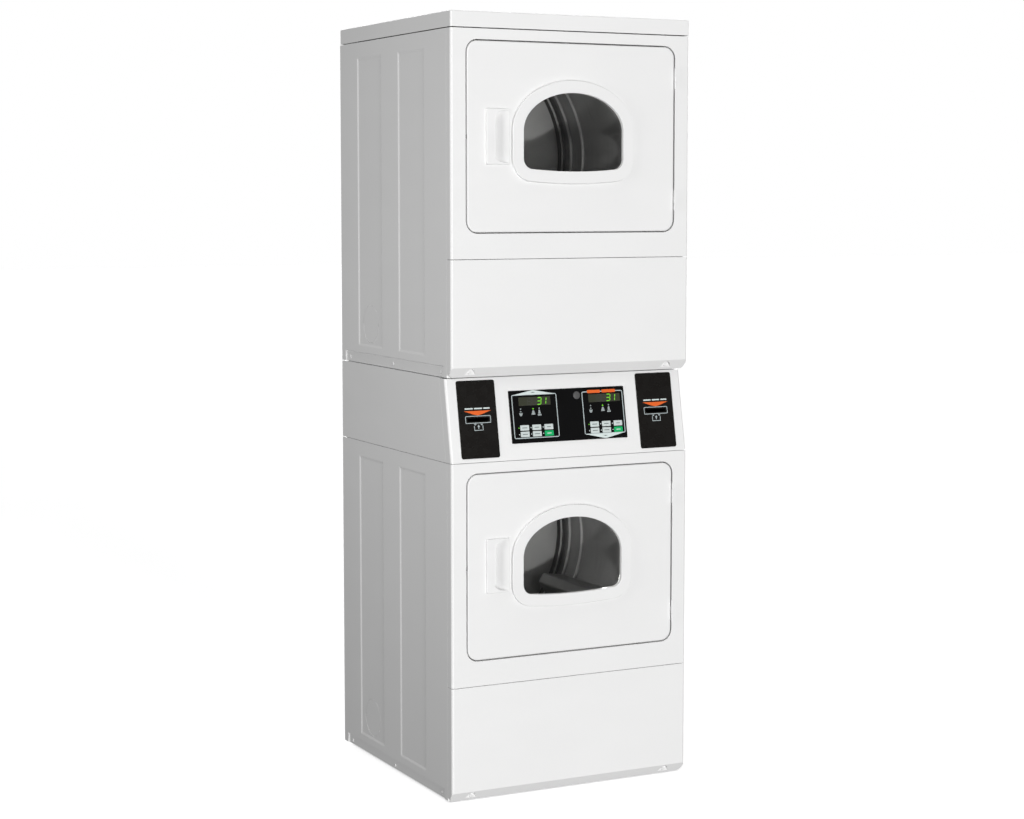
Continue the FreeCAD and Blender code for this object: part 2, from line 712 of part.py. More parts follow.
def door_liner(base):
    """The door's inner panel: a rim, a dish that fills the throat, and the window tunnel."""
    inset = SHEET + 0.5
    t = LINER_SHEET
    y_rim = FRONT + DOOR_DEPTH - t
    y_back = FRONT + DISH_BACK
    plate = rounded(
        -DOOR_HALF_W + inset,
        DOOR_HALF_W - inset,
        y_rim,
        y_rim + t,
        base + DOOR_BOTTOM + inset,
        base + DOOR_TOP - inset,
        DOOR_R - inset,
    )

    def dish(shrink, y0, y1):
        rings = []
        for y, draw in ((y0, 0), (y1, DISH_DRAFT)):
            d = shrink + draw
            half = DISH_HALF_W - d
            z0, z1 = base + DISH_BOTTOM + d, base + DISH_TOP - d
            ring = rounded(-half, half, y, y + 1, z0, z1, DISH_R - d)
            faces = [f for f in ring.Faces if abs(f.BoundBox.YMax - y) < 1e-6]
            rings.append(faces[0].OuterWire)
        return Part.makeLoft(rings, True, True)

    outer = dish(0, y_rim, y_back)
    inner = dish(t, y_rim - 1, y_back - t)
    near = FRONT + GLASS_Y + GLASS_THICK

    def tunnel(shrink):
        narrow = window_wire(base, GLASS_LAP - shrink, near)
        broad = window_wire(base, GLASS_LAP + TUNNEL_FLARE - shrink, y_back)
        return Part.makeLoft([narrow, broad], True, True)

    return plate.fuse(outer).cut(inner).fuse(tunnel(0)).cut(tunnel(t))


def door_window(base):
    return window_prism(base, GLASS_LAP, FRONT + GLASS_Y, FRONT + GLASS_Y + GLASS_THICK)


def scoop_mouth(x0, x1, z, y0, y1):
    """The handle's opening from y0 to y1: straight on the left, with corners that sweep outwards."""
    half = SCOOP_HALF_H
    run, rise = SCOOP_CORNER
    part_run, part_rise = run * (1 - math.sqrt(0.5)), rise * (1 - math.sqrt(0.5))
    outline = []
    for side in (-1, 1):
        start = Vector(x0, y0, z + side * (half - rise))
        middle = Vector(x0 + part_run, y0, z + side * (half - part_rise))
        end = Vector(x0 + run, y0, z + side * half)
        corner = Vector(x1, y0, z + side * half)
        outline.append(Part.Arc(start, middle, end))
        outline.append(Part.LineSegment(end, corner))
    outline.append(Part.LineSegment(Vector(x0, y0, z - half + rise), Vector(x0, y0, z + half - rise)))
    outline.append(Part.LineSegment(Vector(x1, y0, z - half), Vector(x1, y0, z + half)))
    wire = Part.Wire(Part.__sortEdges__([piece.toShape() for piece in outline]))
    return Part.Face(wire).extrude(Vector(0, y1 - y0, 0))


def door_handle(base):
    """A moulded pull: a raised lip on the left and a scoop that ramps out to the right."""
    x0, x1 = HANDLE_X - HANDLE_HALF_W, HANDLE_X + HANDLE_HALF_W
    z0, z1 = base + HANDLE_Z - HANDLE_HALF_H, base + HANDLE_Z + HANDLE_HALF_H
    face = FRONT - HANDLE_OUT
    flange = rounded(x0, x1, face, FRONT, z0, z1, 4)
    flange = flange.makeFillet(2.2, edges_on(flange, 1, face))
    cup = rounded(x0 + 3.4, x1 - 3.4, FRONT, FRONT + HANDLE_DEPTH, z0 + 3.4, z1 - 3.4, 3)
    body = flange.fuse(cup)
    lip = x0 + LIP_WIDTH
    floor = FRONT + HANDLE_DEPTH - 2
    profile = [
        Vector(lip, face - 1, z0),
        Vector(lip - 1, FRONT - 1, z0),
        Vector(lip - 9, FRONT + 1, z0),
        Vector(lip - 9, floor - 3, z0),
        Vector(lip - 6, floor, z0),
        Vector(lip + 12, floor, z0),
        Vector(x1 - 4, face, z0),
        Vector(x1 - 4, face - 1, z0),
    ]
    scoop = prism(profile, Vector(0, 0, z1 - z0))
    mouth = scoop_mouth(lip, x1 + 20, base + HANDLE_Z, face - 2, floor + 1)
    low, high = base + HANDLE_Z - SCOOP_HALF_H + 16, base + HANDLE_Z + SCOOP_HALF_H - 16
    undercut = rounded(lip - 10, lip + 10, FRONT - 1.5, floor + 1, low, high, 5)
    return body.cut(scoop.common(mouth)).cut(scoop.common(undercut))


def hinge_centres(base):
    middle = base + (DOOR_BOTTOM + DOOR_TOP) / 2
    return middle - HINGE_SPREAD, middle + HINGE_SPREAD


def door_hinges(base):
    """The two moving hinge halves: a middle knuckle and a leaf on the door's edge."""
    solids = []
    for z in hinge_centres(base):
        low, high = z - HINGE_THIRD / 2 + HINGE_PLAY, z + HINGE_THIRD / 2 - HINGE_PLAY
        knuckle = post_z(HINGE_X, HINGE_Y, HINGE_R, low, high)
        x0 = DOOR_HALF_W + 0.05
        x1, y1 = x0 + LEAF, FRONT + LEAF_DEPTH
        reach = 1.5 * HINGE_THIRD
        leaf = box(x0, x1, HINGE_Y, y1, low, high)
        wide = box(x0, x1, FRONT + DOOR_EDGE_R, y1, z - reach, z + reach)
        bore = post_z(HINGE_X, HINGE_Y, HINGE_PIN_R + RUNNING, low - 1, high + 1)
        solids.append(fused([knuckle, leaf, wide]).cut(bore))
    return solids


def cabinet_hinges(base):
    """The two fixed hinge halves: outer knuckles, a leaf in the door well, and the pin."""
    solids = []
    for z in hinge_centres(base):
        pieces = []
        x1 = DOOR_HALF_W + DOOR_GAP - 0.05
        for sign in (-1, 1):
            low, high = sorted((z + sign * HINGE_THIRD / 2, z + sign * HINGE_THIRD * 1.5))
            pieces.append(post_z(HINGE_X, HINGE_Y, HINGE_R, low, high))
            pieces.append(box(x1 - LEAF, x1, HINGE_Y, FRONT + LEAF_DEPTH, low, high))
        pieces.append(post_z(HINGE_X, HINGE_Y, HINGE_PIN_R, z - HINGE_THIRD, z + HINGE_THIRD))
        reach = HINGE_THIRD
        pieces.append(box(x1 - LEAF, x1, FRONT + 1, FRONT + LEAF_DEPTH, z - reach, z + reach))
        solids.append(fused(pieces))
    return solids


def door_catch(base):
    """The sprung catch on the left wall of the door well."""
    x0 = -DOOR_HALF_W - DOOR_GAP
    z = base + (DOOR_BOTTOM + DOOR_TOP) / 2
    return box(x0, x0 + DOOR_GAP - 0.7, FRONT + 1, FRONT + 16, z - CATCH_HALF_H, z + CATCH_HALF_H)


def door_seal(base):
    """A rubber ring on the ledge that the shut door's liner presses on."""
    y0, y1 = FRONT + DOOR_DEPTH + 0.3, FRONT + WELL_DEPTH
    outer = ledge_opening(base, SEAL_INSET + SEAL_WIDTH, y0, y1)
    outer = outer.makeFillet(1.5, edges_on(outer, 1, y0))
    inner = ledge_opening(base, SEAL_INSET, y0 - 1, y1 + 1)
    return outer.cut(inner)


# ---------------------------------------------------------------- drum and air path


def drum_profile():
    """Half section of the drum shell: a thin wall with three beads pressed inwards."""
    stations = [(DRUM_FRONT, 0)]
    for y in BEADS:
        stations += [
            (y - BEAD_HALF, 0),
            (y - BEAD_HALF * 0.35, BEAD_HEIGHT),
            (y + BEAD_HALF * 0.35, BEAD_HEIGHT),
            (y + BEAD_HALF, 0),
        ]
    stations.append((DRUM_BACK, 0))
    outside = [Vector(DRUM_R - dip, y, 0) for y, dip in stations]
    inside = [Vector(DRUM_R - SHEET - dip, y, 0) for y, dip in reversed(stations)]
    return outside + inside


def drum_shell(base):
    points = drum_profile()
    face = Part.Face(Part.makePolygon([*points, points[0]]))
    return face.revolve(Vector(), Vector(0, 1, 0), 360).translated(Vector(0, 0, base + AXIS_Z))


def baffle(base, angle):
    """One hollow lifter rib inside the drum, at an angle from +X."""
    root = DRUM_R - SHEET - 0.2

    def section(inset):
        half, crest = BAFFLE_BASE / 2 - inset, BAFFLE_CREST / 2 - inset * 0.6
        foot = math.sqrt(root**2 - half**2)
        tip = root - BAFFLE_HEIGHT + inset
        arc = Part.Arc(Vector(foot, 0, -half), Vector(root, 0, 0), Vector(foot, 0, half)).toShape()
        corners = ((foot, half), (tip, crest), (tip, -crest), (foot, -half))
        sides = Part.makePolygon([Vector(x, 0, z) for x, z in corners])
        return Part.Face(Part.Wire([arc, *sides.Edges]))

    middle = (DRUM_FRONT + DRUM_BACK) / 2 - 12
    y0 = middle - BAFFLE_LENGTH / 2
    rib = section(0).extrude(Vector(0, BAFFLE_LENGTH, 0))
    crest_edges = [
        e for e in edges_along(rib, Vector(0, 1, 0)) if e.BoundBox.XMax < root - BAFFLE_HEIGHT + 1
    ]
    rib = rib.makeFillet(9, crest_edges)
    core = section(BAFFLE_SHEET).extrude(Vector(0, BAFFLE_LENGTH - 2 * BAFFLE_SHEET, 0))
    core = core.translated(Vector(0, BAFFLE_SHEET, 0))
    core = core.fuse(box(root - 12, root + 5, BAFFLE_SHEET, BAFFLE_LENGTH - BAFFLE_SHEET, -30, 30))
    rib = rib.cut(core)
    # clear of the beads that the rib bridges
    reach = root - BEAD_HEIGHT - 1.0
    for y in BEADS:
        ring = tube_y(0, 0, DRUM_R, y - y0 - BEAD_HALF - 1, y - y0 + BEAD_HALF + 1, reach)
        rib = rib.cut(ring)
    rib.rotate(Vector(), Vector(0, 1, 0), -angle)
    return rib.translated(Vector(0, y0, base + AXIS_Z))


def bulkhead_plate(base, y):
    return rounded(
        -BULKHEAD_HALF_W, BULKHEAD_HALF_W, y, y + SHEET, base + BULKHEAD_BOTTOM, base + BULKHEAD_TOP, 90
    )


def front_bulkhead(base):
    """The fixed wall in front of the drum, with the throat and the grille to the lint filter."""
    y0 = FRONT_BULKHEAD_Y
    z = base + AXIS_Z
    wall = bulkhead_plate(base, y0)
    collar = tube_y(0, z, COLLAR_R + SHEET, y0 + SHEET, DRUM_FRONT + COLLAR_REACH, COLLAR_R)
    start = FRONT + WELL_DEPTH + SHEET + CLEAR
    wall = wall.fuse(ledge_opening(base, 1 + SHEET, start, y0))
    wall = wall.cut(ledge_opening(base, 1, start - 1, y0))
    wall = wall.fuse(collar)
    half, y1 = DISH_HALF_W, y0 + SHEET
    throat = rounded(-half, half, y0 - 1, y1 + 1, base + DISH_BOTTOM, base + DISH_TOP, THROAT_R)
    wall = wall.cut(throat)
    slot = FILTER_HALF_W + FILTER_RAIL + 2 * FILTER_PLAY
    slot_y0, slot_y1 = FILTER_Y - 2 * FILTER_PLAY, FILTER_Y + FILTER_THICK + FILTER_PLAY
    low = base + LEDGE_BOTTOM - 9
    wall = wall.cut(box(-slot, slot, slot_y0, slot_y1, low, low + 24))
    for i in range(9):
        x = (i - 4) * 24
        wall = wall.cut(rounded(x - 6, x + 6, y0 - 1, y0 + SHEET + 1, base + 302, base + 408, 5.9))
    return wall


def rear_bulkhead(base):
    """The fixed wall behind the drum, with the hot-air grille."""
    y0 = REAR_BULKHEAD_Y
    z = base + AXIS_Z
    wall = bulkhead_plate(base, y0)
    start = DRUM_BACK - COLLAR_REACH
    collar = tube_y(0, z, COLLAR_R + SHEET, start, y0, COLLAR_R)
    lip = tube_y(0, z, COLLAR_R + SHEET / 2, start, start + SHEET, COLLAR_R - COLLAR_LIP)
    wall = wall.fuse(collar).fuse(lip)
    for row in range(-4, 5):
        for column in range(-5, 6):
            if math.hypot(row, column) < 5.2:
                hole = tube_y(column * 22, z + row * 22, 5.5, y0 - 1, y0 + SHEET + 1)
                wall = wall.cut(hole)
    return wall


def roller_centre(side):
    reach = DRUM_R + CLEAR + ROLLER_R
    angle = math.radians(ROLLER_ANGLE)
    return side * reach * math.sin(angle), AXIS_Z - reach * math.cos(angle)


def roller_shafts(base):
    shafts = []
    for side in (-1, 1):
        x, z = roller_centre(side)
        shaft = tube_y(x, base + z, ROLLER_PIN_R, ROLLER_Y - 3, REAR_BULKHEAD_Y)
        y0 = ROLLER_Y + ROLLER_WIDTH + 0.5
        washer = tube_y(x, base + z, ROLLER_PIN_R + 5, y0, y0 + 2)
        shafts.append(shaft.fuse(washer))
    return shafts


def roller(base, side):
    """A hub with a rubber tread, which carries the drum's rear edge."""
    x, z = roller_centre(side)
    y0, y1 = ROLLER_Y, ROLLER_Y + ROLLER_WIDTH
    wheel = tube_y(x, base + z, ROLLER_R, y0, y1)
    wheel = wheel.makeFillet(2, edges_on(wheel, 1, y0) + edges_on(wheel, 1, y1))
    for start, stop in ((y0 - 1, y0 + 5), (y1 - 5, y1 + 1)):
        wheel = wheel.cut(tube_y(x, base + z, ROLLER_R - 7, start, stop, ROLLER_PIN_R + 6))
    return wheel.cut(tube_y(x, base + z, ROLLER_PIN_R + RUNNING, y0 - 1, y1 + 1))


def drum_seals(base):
    """Felt rings between the fixed collars and the drum's two ends."""
    z = base + AXIS_Z
    inner, outer = COLLAR_R + SHEET + 0.1, DRUM_R - SHEET - CLEAR
    front = tube_y(0, z, outer, DRUM_FRONT + 0.5, DRUM_FRONT + COLLAR_REACH - 0.5, inner)
    rear = tube_y(0, z, outer, DRUM_BACK - COLLAR_REACH + 0.5, DRUM_BACK - 0.5, inner)
    return [front, rear]


def lint_filter(base):
    """A framed screen that lifts out of the slot below the throat."""
    y0, y1 = FILTER_Y, FILTER_Y + FILTER_THICK
    z0, z1 = base + FILTER_BOTTOM, base + FILTER_TOP
    frame = rounded(-FILTER_HALF_W, FILTER_HALF_W, y0, y1, z0, z1, 6)
    tab = rounded(-45, 45, y0, y1, z1 - 12, base + FILTER_TAB_TOP, 8)
    frame = frame.fuse(tab)
    rim = FILTER_RIM
    half = FILTER_HALF_W - rim
    frame = frame.cut(rounded(-half, half, y0 - 1, y1 + 1, z0 + rim, z1 - rim, 4))
    middle = (y0 + y1) / 2
    screen = box(-half, half, middle - 0.3, middle + 0.3, z0 + rim, z1 - rim)
    bars = []
    for i in range(1, 8):
        x = half * (i / 4 - 1)
        bars.append(box(x - 1, x + 1, y0 + 1, y1 - 1, z0 + rim, z1 - rim))
    return fused([frame, screen, *bars])


def lint_duct(base):
    """The flat duct in front of the filter, which leads down to the fan's inlet."""
    t = SHEET
    x0, x1 = DUCT_X
    z0, z1 = base + DUCT_BOTTOM, base + DUCT_TOP
    duct = box(x0, x1, DUCT_FRONT, DUCT_BACK, z0, z1)
    duct = duct.cut(box(x0 + t, x1 - t, DUCT_FRONT + t, DUCT_BACK - t, z0 + t, z1 - t))
    half = FILTER_HALF_W - FILTER_RIM
    low = base + FILTER_BOTTOM + FILTER_RIM
    duct = duct.cut(box(-half, half, DUCT_BACK - t - 1, DUCT_BACK + 1, low, z1 - FILTER_RIM))
    rail_y = FILTER_Y + FILTER_THICK + FILTER_PLAY
    rail_z = base + FILTER_BOTTOM - 0.1
    for side in (-1, 1):
        rail_x = sorted(side * (FILTER_HALF_W + FILTER_PLAY + d) for d in (0, FILTER_RAIL))
        duct = duct.fuse(box(*rail_x, DUCT_BACK, rail_y, rail_z - FILTER_RAIL, z1))
    shelf = FILTER_HALF_W + FILTER_PLAY
    duct = duct.fuse(box(-shelf, shelf, DUCT_BACK, rail_y, rail_z - FILTER_RAIL, rail_z))
    x, z = FAN_X, base + FAN_Z
    duct = duct.fuse(tube_y(x, z, INLET_R + t, DUCT_BACK, SCROLL_Y[0]))
    return duct.cut(tube_y(x, z, INLET_R, DUCT_BACK - t - 1, SCROLL_Y[0] + 1))


def scroll_housing(unit):
    """The fan housing: a drum round the wheel that runs out into the exhaust's mouth."""
    base = UNITS[unit]
    floor = base + TRAY_LIFT[unit] + SHEET + 0.3
    t = SHEET + 0.3
    y0, y1 = SCROLL_Y
    x, z = FAN_X, base + FAN_Z
    low, high = base + EXHAUST_Z - 58, base + EXHAUST_Z + 58
    outer = tube_y(x, z, SCROLL_R, y0, y1).fuse(box(-60, x, y0, y1, low, high))
    outer = outer.fuse(box(x - SCROLL_FOOT, x + SCROLL_FOOT, y1 - 20, y1, floor, z - SCROLL_R / 2))
    inner = tube_y(x, z, SCROLL_R - t, y0 + t, y1 - t)
    inner = inner.fuse(box(-60 + t, x, y0 + t, y1 - t, low + t, high - t))
    shell = outer.cut(inner)
    shell = shell.cut(tube_y(x, z, INLET_R, y0 - 1, y0 + t + 1))
    shell = shell.cut(tube_y(x, z, SHAFT_R + 3, y1 - t - 1, y1 + 1))
    return shell.cut(tube_y(0, base + EXHAUST_Z, EXHAUST_R - EXHAUST_WALL, y1 - t - 1, y1 + 1))


def exhaust_duct(base):
    """The straight exhaust pipe. Its last stretch is the stub that a hose slips over."""
    z = base + EXHAUST_Z
    start, end = SCROLL_Y[1], BACK
    bore = EXHAUST_R - EXHAUST_WALL
    stub = tube_y(0, z, EXHAUST_R, REAR_Y + SHEET, end, bore)
    body = tube_y(0, z, EXHAUST_R + 1, start, REAR_Y + SHEET, bore)
    return body.fuse(stub)


def heater_box(base):
    """The heating element's box on the back of the rear bulkhead, open towards the grille."""
    y0 = REAR_BULKHEAD_Y + SHEET
    y1 = y0 + HEATER_DEPTH
    z0, z1 = base + HEATER_Z[0], base + HEATER_Z[1]
    half = HEATER_HALF_W
    t = SHEET
    shell = rounded(-half, half, y0, y1, z0, z1, 20)
    shell = shell.cut(rounded(-half + t, half - t, y0 - 1, y1 - t, z0 + t, z1 - t, 20 - t))
    coils = []
    for i in range(6):
        z = z0 + 40 + i * (z1 - z0 - 80) / 5
        start = Vector(t - half, y0 + HEATER_DEPTH / 2, z)
        coils.append(Part.makeCylinder(4, 2 * (half - t), start, Vector(1, 0, 0)))
    return shell.multiFuse(coils)


# ---------------------------------------------------------------- drive


def motor(unit):
    """The drive motor on its cradle, and the post that the belt's idler turns on."""
    base = UNITS[unit]
    floor = base + TRAY_LIFT[unit] + SHEET + 0.3
    x, z = FAN_X, base + FAN_Z
    y0, y1 = MOTOR_Y
    can = tube_y(x, z, MOTOR_R, y0, y1)
    can = can.makeFillet(8, edges_on(can, 1, y0) + edges_on(can, 1, y1))
    for y in (y0 + 8, y1 - 14):
        can = can.fuse(tube_y(x, z, MOTOR_R + 2, y, y + 6))
    cradle = box(x - 50, x + 50, y0 + 12, y1 - 12, floor, floor + 4)
    for y in (y0 + 16, y1 - 22):
        cradle = cradle.fuse(box(x - 32, x + 32, y, y + 6, floor, z - MOTOR_R + 14))
    can = can.fuse(cradle)
    can = can.cut(tube_y(x, z, SHAFT_R + RUNNING, y0 - 1, y1 + 1))
    px, pz = IDLER_PIVOT
    back = ARM_Y + ARM_THICK + 8
    post = box(px - 9, px + 9, back, back + 3, floor, base + pz + 10)
    foot = box(px - 9, px + 9, back, back + 30, floor, floor + 3)
    pin = tube_y(px, base + pz, IDLER_PIN_R, ARM_Y - 2, back)
    collar = tube_y(px, base + pz, IDLER_PIN_R + 4, ARM_Y + ARM_THICK + CLEAR, back)
    return [can, fused([post, foot, pin, collar])]


def motor_rotor(base):
    """Everything that turns with the motor: its shaft, the fan wheel and the belt pulley."""
    x, z = FAN_X, base + FAN_Z
    wheel_y0, wheel_y1 = SCROLL_Y[0] + 8, SCROLL_Y[1] - 12
    shaft = tube_y(x, z, SHAFT_R, wheel_y0 + 4, BELT_Y + PULLEY_WIDTH / 2 + 6)
    hub = tube_y(x, z, 18, wheel_y1 - 16, wheel_y1, SHAFT_R)
    disc = tube_y(x, z, FAN_R, wheel_y1 - 2, wheel_y1, SHAFT_R)
    shroud = tube_y(x, z, FAN_R, wheel_y0, wheel_y0 + 2, FAN_R - 24)
    blades = []
    for i in range(20):
        blade = box(FAN_R - 23, FAN_R - 2, wheel_y0 + 1, wheel_y1 - 1, -0.8, 0.8)
        blade.rotate(Vector(FAN_R - 12, 0, 0), Vector(0, 1, 0), 35)
        blade.rotate(Vector(), Vector(0, 1, 0), 18 * i)
        blades.append(blade.translated(Vector(x, 0, z)))
    wheel = fused([disc, hub, shroud, *blades])
    half = PULLEY_WIDTH / 2
    pulley = tube_y(x, z, PULLEY_R, BELT_Y - half, BELT_Y + half, SHAFT_R)
    flanges = [
        tube_y(x, z, PULLEY_R + 4, y, y + 1.6, SHAFT_R) for y in (BELT_Y - half, BELT_Y + half - 1.6)
    ]
    return [shaft, wheel, fused([pulley, *flanges])]


def belt_loop(base, grow, y0, y1):
    """The region inside a loop round the drum and the motor pulley, grown by grow."""
    big, small = DRUM_R + CLEAR + grow, PULLEY_R + CLEAR + grow
    dx, dz = FAN_X, FAN_Z - AXIS_Z
    distance = math.hypot(dx, dz)
    heading = math.atan2(dz, dx)
    lean = math.acos((big - small) / distance)

    def on(cx, cz, radius, angle):
        return Vector(cx + radius * math.cos(angle), y0, base + cz + radius * math.sin(angle))

    left, right = heading - lean, heading + lean
    far = heading + math.pi
    drum = [on(0, AXIS_Z, big, angle) for angle in (right, far, left)]
    pulley = [on(FAN_X, FAN_Z, small, angle) for angle in (left, heading, right)]
    edges = [
        Part.Arc(*drum),
        Part.LineSegment(drum[2], pulley[0]),
        Part.Arc(*pulley),
        Part.LineSegment(pulley[2], drum[0]),
    ]
    wire = Part.Wire([e.toShape() for e in edges])
    return Part.Face(wire).extrude(Vector(0, y1 - y0, 0))


def drive_belt(base):
    y0, y1 = BELT_Y - BELT_WIDTH / 2, BELT_Y + BELT_WIDTH / 2
    return belt_loop(base, BELT_THICK, y0, y1).cut(belt_loop(base, 0, y0, y1))


def idler_arm(base):
    """The sprung arm and wheel that keep the belt tight."""
    px, pz = IDLER_PIVOT
    wx, wz = IDLER_WHEEL
    y0, y1 = ARM_Y, ARM_Y + ARM_THICK
    length = math.hypot(wx - px, wz - pz)
    bar = box(0, length, y0, y1, -7, 7)
    bar.rotate(Vector(), Vector(0, 1, 0), -math.degrees(math.atan2(wz - pz, wx - px)))
    bar = bar.translated(Vector(px, 0, base + pz))
    ends = [tube_y(px, base + pz, 9, y0, y1), tube_y(wx, base + wz, 7, y0, y1)]
    stub = tube_y(wx, base + wz, 4, BELT_Y - 5, y0)
    arm = fused([bar, *ends, stub]).cut(tube_y(px, base + pz, IDLER_PIN_R + RUNNING, y0 - 1, y1 + 1))
    wheel = tube_y(wx, base + wz, IDLER_R, BELT_Y - 6, BELT_Y + 6, 4 + RUNNING)
    return [arm, wheel]


# ---------------------------------------------------------------- console


def console_placement():
    """Maps (x, s, n) of the console's slope to the model's frame."""
    rise = CONSOLE_TOP - FRONT_TOP
    length = math.hypot(rise, CONSOLE_SETBACK)
    c, a = rise / length, CONSOLE_SETBACK / length
    return Placement(Matrix(1, 0, 0, 0, 0, a, -c, FRONT, 0, c, a, FRONT_TOP, 0, 0, 0, 1))


def on_console(shape):
    moved = shape.copy()
    moved.Placement = console_placement().multiply(moved.Placement)
    return moved


def slab(x0, x1, s0, s1, n0, n1, radius=0.0):
    """A block in console coordinates, with its four edges along n rounded."""
    if radius:
        return rounded(x0, x1, s0, s1, n0, n1, radius, Vector(0, 0, 1))
    return box(x0, x1, s0, s1, n0, n1)


def console_prism(inset, depth):
    """The console's outline: a slope in front, level above and below."""
    rise = CONSOLE_TOP - FRONT_TOP
    lean = CONSOLE_SETBACK / rise
    z0, z1 = FRONT_TOP + GAP + inset, CONSOLE_TOP - inset
    shift = inset * math.hypot(1, lean)

    def front(z):
        return FRONT + (z - FRONT_TOP) * lean + shift

    half = HALF_W - inset
    points = [
        Vector(-half, front(z0), z0),
        Vector(-half, front(z0) + depth, z0),
        Vector(-half, front(z1) + depth, z1),
        Vector(-half, front(z1), z1),
    ]
    block = prism(points, Vector(2 * half, 0, 0))
    slope = Vector(0, CONSOLE_SETBACK, rise).normalize()
    corners = [e for e in edges_along(block, slope) if e.BoundBox.YMin < front(z0) + 1]
    return block.makeFillet(EDGE_R - inset, corners)


def console_panel():
    """The sloping fascia, with a shallow recess and cut-outs for what it carries."""
    shell = console_prism(0, CONSOLE_RETURN).cut(console_prism(1.5, CONSOLE_RETURN + 20))
    m = OVERLAY_MARGIN
    s0, s1 = OVERLAY_S
    half = OVERLAY_HALF_W
    shell = shell.cut(on_console(slab(-half - m, half + m, s0 - m, s1 + m, -RECESS, 5, 6)))
    shell = shell.cut(on_console(slab(-half + 4, half - 4, s0 + 4, s1 - 4, -9, 5, 4)))
    for x in (-PLATE_X, PLATE_X):
        s0, s1 = PLATE_S
        w = PLATE_HALF_W - 6
        shell = shell.cut(on_console(slab(x - w, x + w, s0 + 6, s1 - 6, -9, 5, 4)))
    return shell


def key_cells(unit):
    """Centre (x, s) of each of one dryer's six keys, row by row."""
    columns = [PANEL_X[unit] + KEY_PITCH_X * step for step in (-1, 0, 1)]
    return [(x, s) for s in (KEY_TOP_S, KEY_TOP_S - KEY_PITCH_S) for x in columns]


def display_panel():
    """The black overlay, with openings for the keys and the receiver's lens."""
    s0, s1 = OVERLAY_S
    n0 = -RECESS
    plate = slab(-OVERLAY_HALF_W, OVERLAY_HALF_W, s0, s1, n0, n0 + OVERLAY_THICK, OVERLAY_R)
    plate = plate.makeFillet(0.5, edges_on(plate, 2, n0 + OVERLAY_THICK))
    for unit in UNITS:
        for x, s in key_cells(unit):
            w, h = KEY_W / 2 + KEY_PLAY, KEY_H / 2 + KEY_PLAY
            plate = plate.cut(slab(x - w, x + w, s - h, s + h, n0 - 1, n0 + OVERLAY_THICK + 1, 1.8))
    lens = Part.makeCylinder(LENS_R, 0.6, Vector(LENS_X, LENS_S, n0 + OVERLAY_THICK))
    lens = lens.makeFillet(0.4, edges_on(lens, 2, n0 + OVERLAY_THICK + 0.6))
    return on_console(plate), on_console(lens)


def key(x, s):
    """One push key with a guide flange behind the overlay."""
    face = OVERLAY_THICK - RECESS + KEY_PROUD
    back = face - KEY_THICK
    w, h = KEY_W / 2, KEY_H / 2
    cap = slab(x - w, x + w, s - h, s + h, back, face, 1.6)
    cap = cap.makeFillet(0.45, edges_on(cap, 2, face))
    flange = slab(x - w - 1.2, x + w + 1.2, s - h - 1, s + h + 1, back - 0.8, back, 1.6)
    return on_console(cap.fuse(flange))


def control_board():
    """The circuit board behind the overlay, with both displays and the key switches."""
    s0, s1 = OVERLAY_S
    board = slab(-OVERLAY_HALF_W + 6, OVERLAY_HALF_W - 6, s0 + 6, s1 - 6, -12.6, -11, 3)
    pieces = [board]
    for unit in UNITS:
        x = PANEL_X[unit]
        pieces.append(slab(x - 46, x + 46, 137, 159, -11, -1.2))
        for kx, ks in key_cells(unit):
            pieces.append(slab(kx - 3, kx + 3, ks - 3, ks + 3, -11, -3.4))
    pieces.append(slab(-20, 70, 60, 110, -26, -12.6))
    return on_console(fused(pieces))


def card_reader(x):
    """A face plate with a card slot, and the reader's body behind it."""
    s0, s1 = PLATE_S
    plate = slab(x - PLATE_HALF_W, x + PLATE_HALF_W, s0, s1, 0, PLATE_THICK, PLATE_R)
    plate = on_console(plate.makeFillet(0.7, edges_on(plate, 2, PLATE_THICK)))
    body = on_console(slab(x - 42, x + 42, SLOT_S - 50, SLOT_S + 45, -95, 0, 4))
    mouth = console_placement().multVec(Vector(x, SLOT_S, 0))
    z0, z1 = mouth.z - SLOT_HALF_H, mouth.z + SLOT_HALF_H
    slot = box(x - SLOT_HALF_W, x + SLOT_HALF_W, mouth.y - 20, mouth.y + SLOT_DEPTH, z0, z1)
    return plate.cut(slot), body.cut(slot)


# ---------------------------------------------------------------- build


